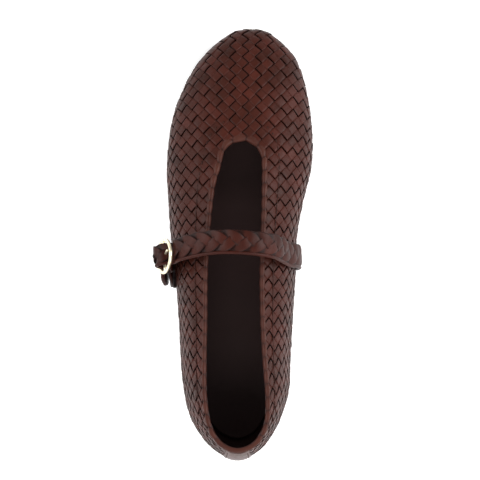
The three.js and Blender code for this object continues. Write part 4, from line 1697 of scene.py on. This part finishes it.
@dataclass
class Band:
    """A band plaited from three strips, with a thin backing behind it and an edge folded up beside it.

    Lengths are millimetres. How high the fold and the tip stand is a share of the band's thickness.
    """

    name: str
    route: Route
    middle_up: float
    width: float
    thickness: float
    pitch: float = 9.0
    strip_share: float = 0.47
    strip_thickness: float = 0.85
    backing: float = 0.8
    square_wave: float = 0.06
    crown: float = 0.75
    sample: float = 0.7
    under_range: tuple[float, float] = (-0.2, 0.6)
    under_shade: float = 0.85
    tint_spread: float = 0.22
    backing_share: float = 0.95
    fold_width: float = 2.0
    fold_clear: float = 0.3
    fold_high: float = 0.32
    fold_low: float = 0.06
    tip_overlap: float = 1.5
    tip_round: float = 3.0
    tip_high: float = 0.28
    tip_length: float = 0.0
    plain_end: float = 0.0
    tip_share: float = 0.42
    pinch: float = 0.0
    pinch_at: np.ndarray | None = None
    pinch_reach: float = 12.0

    def _frame(self, share: np.ndarray) -> tuple[np.ndarray, np.ndarray, np.ndarray, np.ndarray]:
        """Finds how the band lies.

        Args:
            share: Shares of the band's length.

        Returns:
            Its middle points, and its directions along, across and outward.
        """
        centre, along = self.route.at(share), self.route.along(share)
        middle = centre.copy()
        middle[:, 0], middle[:, 2] = 0.0, self.middle_up
        across = unit(np.cross(unit(centre - middle), along))
        return centre, along, across, unit(np.cross(along, across))

    def _spread(self, share: np.ndarray) -> np.ndarray:
        """Finds how wide the band is.

        Args:
            share: Shares of the band's length.

        Returns:
            Shares of its full width.
        """
        spread = np.ones_like(share)
        if self.pinch_at is not None:
            far = np.linalg.norm(self.route.at(share) - self.pinch_at, axis=1) / self.pinch_reach
            spread -= self.pinch * np.exp(-far ** 2)
        if self.tip_length:
            left = (1 - share) * self.route.length / self.tip_length
            spread *= np.minimum(1.0, mix(self.tip_share, 1.0, left ** 0.7))
        return spread

    def plait(self) -> Shape:
        """Plaits the three strips. Each runs over its neighbour on its way out and under on its way back.

        Returns:
            The shape of the strips.
        """
        shape = Shape()
        end = 1 - self.plain_end / self.route.length
        share = np.linspace(0.0, end, int(self.route.length / self.sample))
        spread = self._spread(share)
        centre, _, across, out = self._frame(share)
        centre = centre - across * (self.fold_width * self.fold_clear)
        face = self.width - self.fold_width * self.fold_clear * 2
        strip = face * self.strip_share
        swing = (face - strip) / 2 / (1 - self.square_wave) * spread
        rise = (self.thickness - self.backing - self.strip_thickness) / 2
        top = self.thickness / 2 - rise
        turn = share * self.route.length / (3 * self.pitch) * math.tau
        widths = (strip * spread)[:, None, None] * np.array(BAND_ACROSS)[None, :, None]
        drops = out[:, None] * (self.strip_thickness * np.array(BAND_DROP))[None, :, None]
        rng = np.random.default_rng(SEED + 11)
        for strand in range(3):
            phase = turn + strand * math.tau / 3
            side_way = np.sin(phase) + self.square_wave * np.sin(3 * phase)
            height = top + rise * np.sin(2 * phase) - self.crown * side_way ** 2
            middle = centre + across * (swing * side_way)[:, None] + out * height[:, None]
            side = unit(np.cross(unit(np.gradient(middle, axis=0)), out))
            points = middle[:, None] + side[:, None] * widths - drops
            # Painted shade: each strand is darkened where it runs under its neighbour.
            under = smooth_step(-np.sin(2 * phase), *self.under_range)[:, None]
            knots = np.arange(0, phase.max() + 4, math.pi / 2)
            tone_and_highlight = np.interp(phase, knots, rng.normal(0, self.tint_spread, len(knots)))
            shape.add_grid(points, around=True, capped=True, values={
                "ink_and_painted_shade": np.maximum(self.under_shade * under, np.array(BAND_INK)[None, :]),
                "tone_and_highlight": np.broadcast_to(tone_and_highlight[:, None], points.shape[:2])})
        return shape

    def piece(self, *nodes: str) -> bpy.types.Object:
        """The plaited face of the band."""
        return dress(self.plait().build(f"{self.name}_plait", sharp=50.0), BAND_LEATHER, *nodes)

    def _slab(self, share: np.ndarray, half: np.ndarray, low: float, high: float) -> Shape:
        """A flat length of leather with rounded edges.

        Args:
            share: Shares of the band's length.
            half: Half the slab's width at each share.
            low: Height of its back over the band's middle.
            high: Height of its face.

        Returns:
            The slab's shape.
        """
        centre, _, across, out = self._frame(share)
        profile = np.array(FLAT_SECTION)
        sides = half[:, None] * profile[None, :, 0]
        heights = mix(low, high, profile[None, :, 1])
        points = centre[:, None] + across[:, None] * sides[..., None] + out[:, None] * heights[..., None]
        shape = Shape()
        shape.add_grid(points, around=True, capped=True)
        return shape

    def backing_piece(self) -> bpy.types.Object:
        """Makes the thin backing under the plait, with the edge that is folded up beside it on the heel side.

        Returns:
            The piece.
        """
        end = 1 - self.plain_end / self.route.length
        share = np.linspace(0.0, end, int(self.route.length))
        low = -self.thickness / 2
        half = self.width / 2 * self._spread(share)
        shape = self._slab(share, half * self.backing_share, low, low + self.backing)
        centre, _, across, out = self._frame(share)
        turn = turns(12)[None, :]
        sides = half[:, None] - self.fold_width / 2 * (1 - np.cos(turn))
        heights = self.thickness * (self.fold_high * np.sin(turn) - self.fold_low)
        fold = centre[:, None] + across[:, None] * sides[..., None] + out[:, None] * heights[..., None]
        shape.add_grid(fold, around=True, capped=True)
        return dress(shape.build(f"{self.name}_backing", sharp=50.0), BAND_LEATHER)

    def tip_piece(self) -> bpy.types.Object:
        """Makes the short plain end past the plait, cut to a round.

        Returns:
            The piece.
        """
        share = np.linspace(1 - (self.plain_end + self.tip_overlap) / self.route.length, 1.0, 36)
        left = (1 - share) * self.route.length
        rounded = np.sqrt(np.clip(1 - (1 - np.clip(left / self.tip_round, 0, 1)) ** 2, 0.03, 1))
        half = self.width / 2 * self._spread(share) * rounded
        shape = self._slab(share, half, -self.thickness / 2, self.thickness * self.tip_high)
        return dress(shape.build(f"{self.name}_tip", sharp=50.0), BAND_LEATHER)


@dataclass
class Fastening:
    """The strap, the short tab that holds the buckle, and the buckle between them."""

    last: Last
    buckle: Buckle
    strap_width: float = 14.0
    strap_thickness: float = 2.8
    strap_at: float = 0.462
    strap_slant: float = 0.02
    strap_seat: float = 0.8
    tab_width: float = 15.0
    tab_thickness: float = 2.4
    tab_at: float = 0.422
    tab_slant: float = 0.03
    tab_seat: float = 1.3
    tail_stand: float = 0.8
    tail_swing: float = 2.0
    tip_length: float = 16.0
    tip_plain: float = 3.0
    ring_pinch: float = 0.12
    band_middle: float = 0.35
    hole_radius: float = 1.1
    hole_depths: tuple[float, float] = (-0.5, 0.05)
    fit_gap: float = 0.3
    strap_climb: tuple[float, ...] = (0.10, 0.24, 0.38, 0.52, 0.64)
    strap_arch: tuple[tuple[float, float, float], ...] = (
        (0.262, 0.492, 0.83), (0.150, 0.499, 0.92), (0.020, 0.503, 0.955), (-0.110, 0.503, 0.94),
        (-0.240, 0.498, 0.875), (-0.350, 0.489, 0.795))
    strap_through: tuple[tuple[float, float], ...] = (
        (-1.00, 0.00), (-0.62, 0.00), (-0.28, 0.87), (0.08, 1.00), (0.36, 0.58), (0.62, 0.00), (1.00, 0.00))
    tail_rows: tuple[float, ...] = (0.52, 0.30, 0.12)
    tab_climb: tuple[float, ...] = (0.08, 0.20, 0.32)
    tab_rise: tuple[tuple[float, float], ...] = ((1.15, 0.0), (0.66, 0.0), (0.36, 0.65), (0.0, 1.0))

    def _out_at(self, points: np.ndarray) -> np.ndarray:
        """Finds the way out from the middle of the shoe.

        Args:
            points: Points on or near the wall, one a row.

        Returns:
            A vector of length one for each point.
        """
        middle = points.copy()
        middle[..., 0], middle[..., 2] = 0.0, self.band_middle * self.last.collar_height
        return unit(points - middle)

    def _on_wall(
        self,
        climbs: Sequence[float],
        at: float,
        slant: float,
        out: float,
        medial: bool,
    ) -> np.ndarray:
        """Lays a band's lower end on the wall.

        Args:
            climbs: The climbs that its middle line passes.
            at: Where it leaves the feather line, as a share of the shoe's length.
            slant: How far it has gone to the toe at the rim, as a share of that length.
            out: How far the middle line stands off the wall.
            medial: True on the medial side.

        Returns:
            Points of the middle line, one a row.
        """
        places = [self.last.place_at(self.last.y_at(at + slant * climb), medial) for climb in climbs]
        return self.last.skin(np.array(places), np.array(climbs), out)

    def _at_buckle(self, rows: Sequence[tuple[float, float]], low: float, high: float) -> list[np.ndarray]:
        """Leads a band past the buckle.

        Args:
            rows: How far down the ring each point lies and how far from the low to the high level, as shares.
            low: The low level, outward from the buckle's middle.
            high: The high level.

        Returns:
            Points of the band's middle line.
        """
        return [self.buckle.at(down * self.buckle.reach, mix(low, high, over)) for down, over in rows]

    def tab_route(self) -> Route:
        """Lays the tab's middle line, up the lateral wall and under the bar.

        Returns:
            The route.
        """
        seat = self.tab_thickness / 2 + self.tab_seat
        wall = self._on_wall(self.tab_climb, self.tab_at, self.tab_slant, seat, medial=False)
        rise = self._at_buckle(self.tab_rise, self.buckle.tab_under_strap, self.buckle.tab_under_bar)
        return Route(np.vstack([wall, rise]))

    def strap_route(self) -> Route:
        """Lays the strap's middle line: up the medial wall, over the foot, through the ring, down the tail.

        Returns:
            The route.
        """
        seat = self.strap_thickness / 2 + self.strap_seat
        wall = self._on_wall(self.strap_climb, self.strap_at, self.strap_slant, seat, medial=True)
        arch = [(across * self.last.ball_width, self.last.y_at(along), up * self.last.collar_height)
                for across, along, up in self.strap_arch]
        buckle = self.buckle
        through = self._at_buckle(self.strap_through, buckle.strap_under_ring, buckle.strap_over_bar)
        shares = np.array(self.tail_rows)
        hang = self.tab_thickness / 2 + self.fit_gap + self.strap_thickness / 2 + self.tail_stand
        tail = self.tab_route().at(shares)
        tail = tail + self._out_at(tail) * hang
        tail[:, 1] -= self.tail_swing * (1 - shares)
        return Route(np.vstack([wall, arch, through, tail]))

    def strap(self) -> Band:
        """Makes the strap, pinched where it runs through the ring.

        Returns:
            The band.
        """
        return Band(
            "strap", self.strap_route(), self.band_middle * self.last.collar_height, self.strap_width,
            self.strap_thickness, tip_length=self.tip_length, plain_end=self.tip_plain, pinch=self.ring_pinch,
            pinch_at=self.buckle.centre, pinch_reach=self.buckle.reach)

    def tab(self) -> Band:
        """Makes the tab under the strap's tail.

        Returns:
            The band.
        """
        return Band(
            "tab", self.tab_route(), self.band_middle * self.last.collar_height, self.tab_width,
            self.tab_thickness)

    def hole(self) -> bpy.types.Object:
        """Makes a dark disc of painted shade for the mouth of the hole punched through the strap, on the
        crest of its bulge over the bar.

        Returns:
            The piece.
        """
        turn = turns(20)
        down, along = self.hole_radius * np.cos(turn), self.hole_radius * np.sin(turn)
        face = self.buckle.strap_over_bar + self.strap_thickness / 2
        rows = [self.buckle.at(down, np.full_like(turn, face + rise), along) for rise in self.hole_depths]
        shape = Shape()
        shape.add_grid(np.stack(rows), around=True, capped=True)
        return dress(shape.build("painted_hole_shade", sharp=40.0), HOLE_SHADE)


# Studio


@dataclass(frozen=True)
class SoftBox:
    """A square soft light: its name, where it hangs, the length of its side and its power in watts."""

    name: str
    place: tuple[float, float, float]
    side: float
    power: float


@dataclass
class Studio:
    """A pale floor, soft light from above and the camera straight over the shoe."""

    frame_width: float = 278.9
    centre: tuple[float, float] = (2.5, 94.8)
    height: float = 1400.0
    widest_up: float = 20.0
    sensor: float = 36.0
    sight: float = 20.0
    floor_side: float = 3000.0
    floor_thickness: float = 10.0
    floor_colour: str = "#fefefe"
    floor_glow: float = 0.25
    floor_roughness: float = 0.9
    floor_specular: float = 0.1
    white: tuple[float, float, float, float] = (1.0, 1.0, 1.0, 1.0)
    horizon: float = 1.0
    zenith: float = 0.3
    dimming: tuple[float, float] = (0.12, 0.62)
    boxes: tuple[SoftBox, ...] = (
        SoftBox("heel_side_soft_box", (-50.0, -900.0, 1050.0), 1000.0, 12.5),
        SoftBox("left_soft_box", (-1000.0, 300.0, 800.0), 900.0, 13.0),
        SoftBox("right_soft_box", (1000.0, 250.0, 750.0), 900.0, 18.0),
    )

    def floor(self) -> None:
        """Lays the floor, a wide plate with a matt pale finish that glows faintly."""
        half = self.floor_side / 2
        corners = np.array([[-half, -half], [half, -half], [half, half], [-half, half]])
        rows = [np.column_stack([corners, np.full(4, z)]) for z in (-self.floor_thickness, 0.0)]
        shape = Shape()
        shape.add_grid(np.stack(rows), around=True, capped=True)
        plate = shape.build("floor", sharp=30.0)
        matt = bpy.data.materials.new("matt_paper")
        matt.use_nodes = True
        feed(matt.node_tree, matt.node_tree.nodes["Principled BSDF"], {
            "Base Color": linear(self.floor_colour),
            "Roughness": self.floor_roughness,
            "Specular IOR Level": self.floor_specular,
            "Emission Color": self.white,
            "Emission Strength": self.floor_glow,
        })
        plate.data.materials.append(matt)
        LOG.info("floor: laid, in matt_paper")

    def light(self, box: SoftBox) -> None:
        """Hangs one soft light that points at the middle of the shoe.

        Args:
            box: The light.
        """
        lamp = bpy.data.lights.new(box.name, "AREA")
        lamp.shape, lamp.size, lamp.energy = "SQUARE", box.side * MM, box.power
        holder = bpy.data.objects.new(box.name, lamp)
        holder.location = Vector(box.place) * MM
        target = Vector((*self.centre, 0.0)) * MM
        holder.rotation_euler = (holder.location - target).to_track_quat("Z", "Y").to_euler()
        bpy.context.scene.collection.objects.link(holder)

    def world(self) -> None:
        """Sets the surround, white round the horizon and dim overhead, like white cards round a table."""
        world = bpy.data.worlds.new("white_surround")
        world.use_nodes = True
        tree = world.node_tree
        toward = add_node(tree, "ShaderNodeTexCoord").outputs["Generated"]
        up = add_node(tree, "ShaderNodeSeparateXYZ", None, {0: toward}).outputs["Z"]
        feed(tree, tree.nodes["Background"], {
            "Color": self.white,
            "Strength": remap(tree, up, self.dimming, (self.horizon, self.zenith), "SMOOTHSTEP"),
        })
        bpy.context.scene.world = world

    def camera(self) -> None:
        """Hangs the camera, straight above the shoe with the toe up, with a long lens."""
        data = bpy.data.cameras.new("camera")
        data.sensor_width = self.sensor
        data.lens = self.sensor * (self.height - self.widest_up) / self.frame_width
        data.clip_end = self.sight
        camera = bpy.data.objects.new("camera", data)
        camera.location = Vector((*self.centre, self.height)) * MM
        bpy.context.scene.collection.objects.link(camera)
        bpy.context.scene.camera = camera

    def build(self) -> None:
        """Sets the whole studio."""
        self.camera()
        self.floor()
        self.world()
        for box in self.boxes:
            self.light(box)
        view = bpy.context.scene.view_settings
        view.view_transform = "Standard"
        view.look = "None"


def main() -> None:
    """Builds the shoe piece by piece, then the studio."""
    logging.basicConfig(level=logging.INFO, format="%(name)s: %(message)s")
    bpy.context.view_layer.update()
    last = Last()
    sole = Sole(last)
    sole.outsole()
    sole.heel()
    sole.insole()
    upper = Upper(last, PlaitNet(last))
    upper.strips(Lay.TO_MEDIAL)
    upper.strips(Lay.TO_LATERAL)
    upper.lining()
    upper.edge()
    upper.back_strip()
    upper.stitches()
    buckle = Buckle(last)
    buckle.frame_piece()
    buckle.prong_piece()
    fastening = Fastening(last, buckle)
    strap = fastening.strap()
    strap.piece("strap")
    strap.backing_piece()
    strap.tip_piece()
    fastening.hole()
    tab = fastening.tab()
    tab.piece("anchor_tab")
    tab.backing_piece()
    Studio().build()


if __name__ == "__main__":
    main()
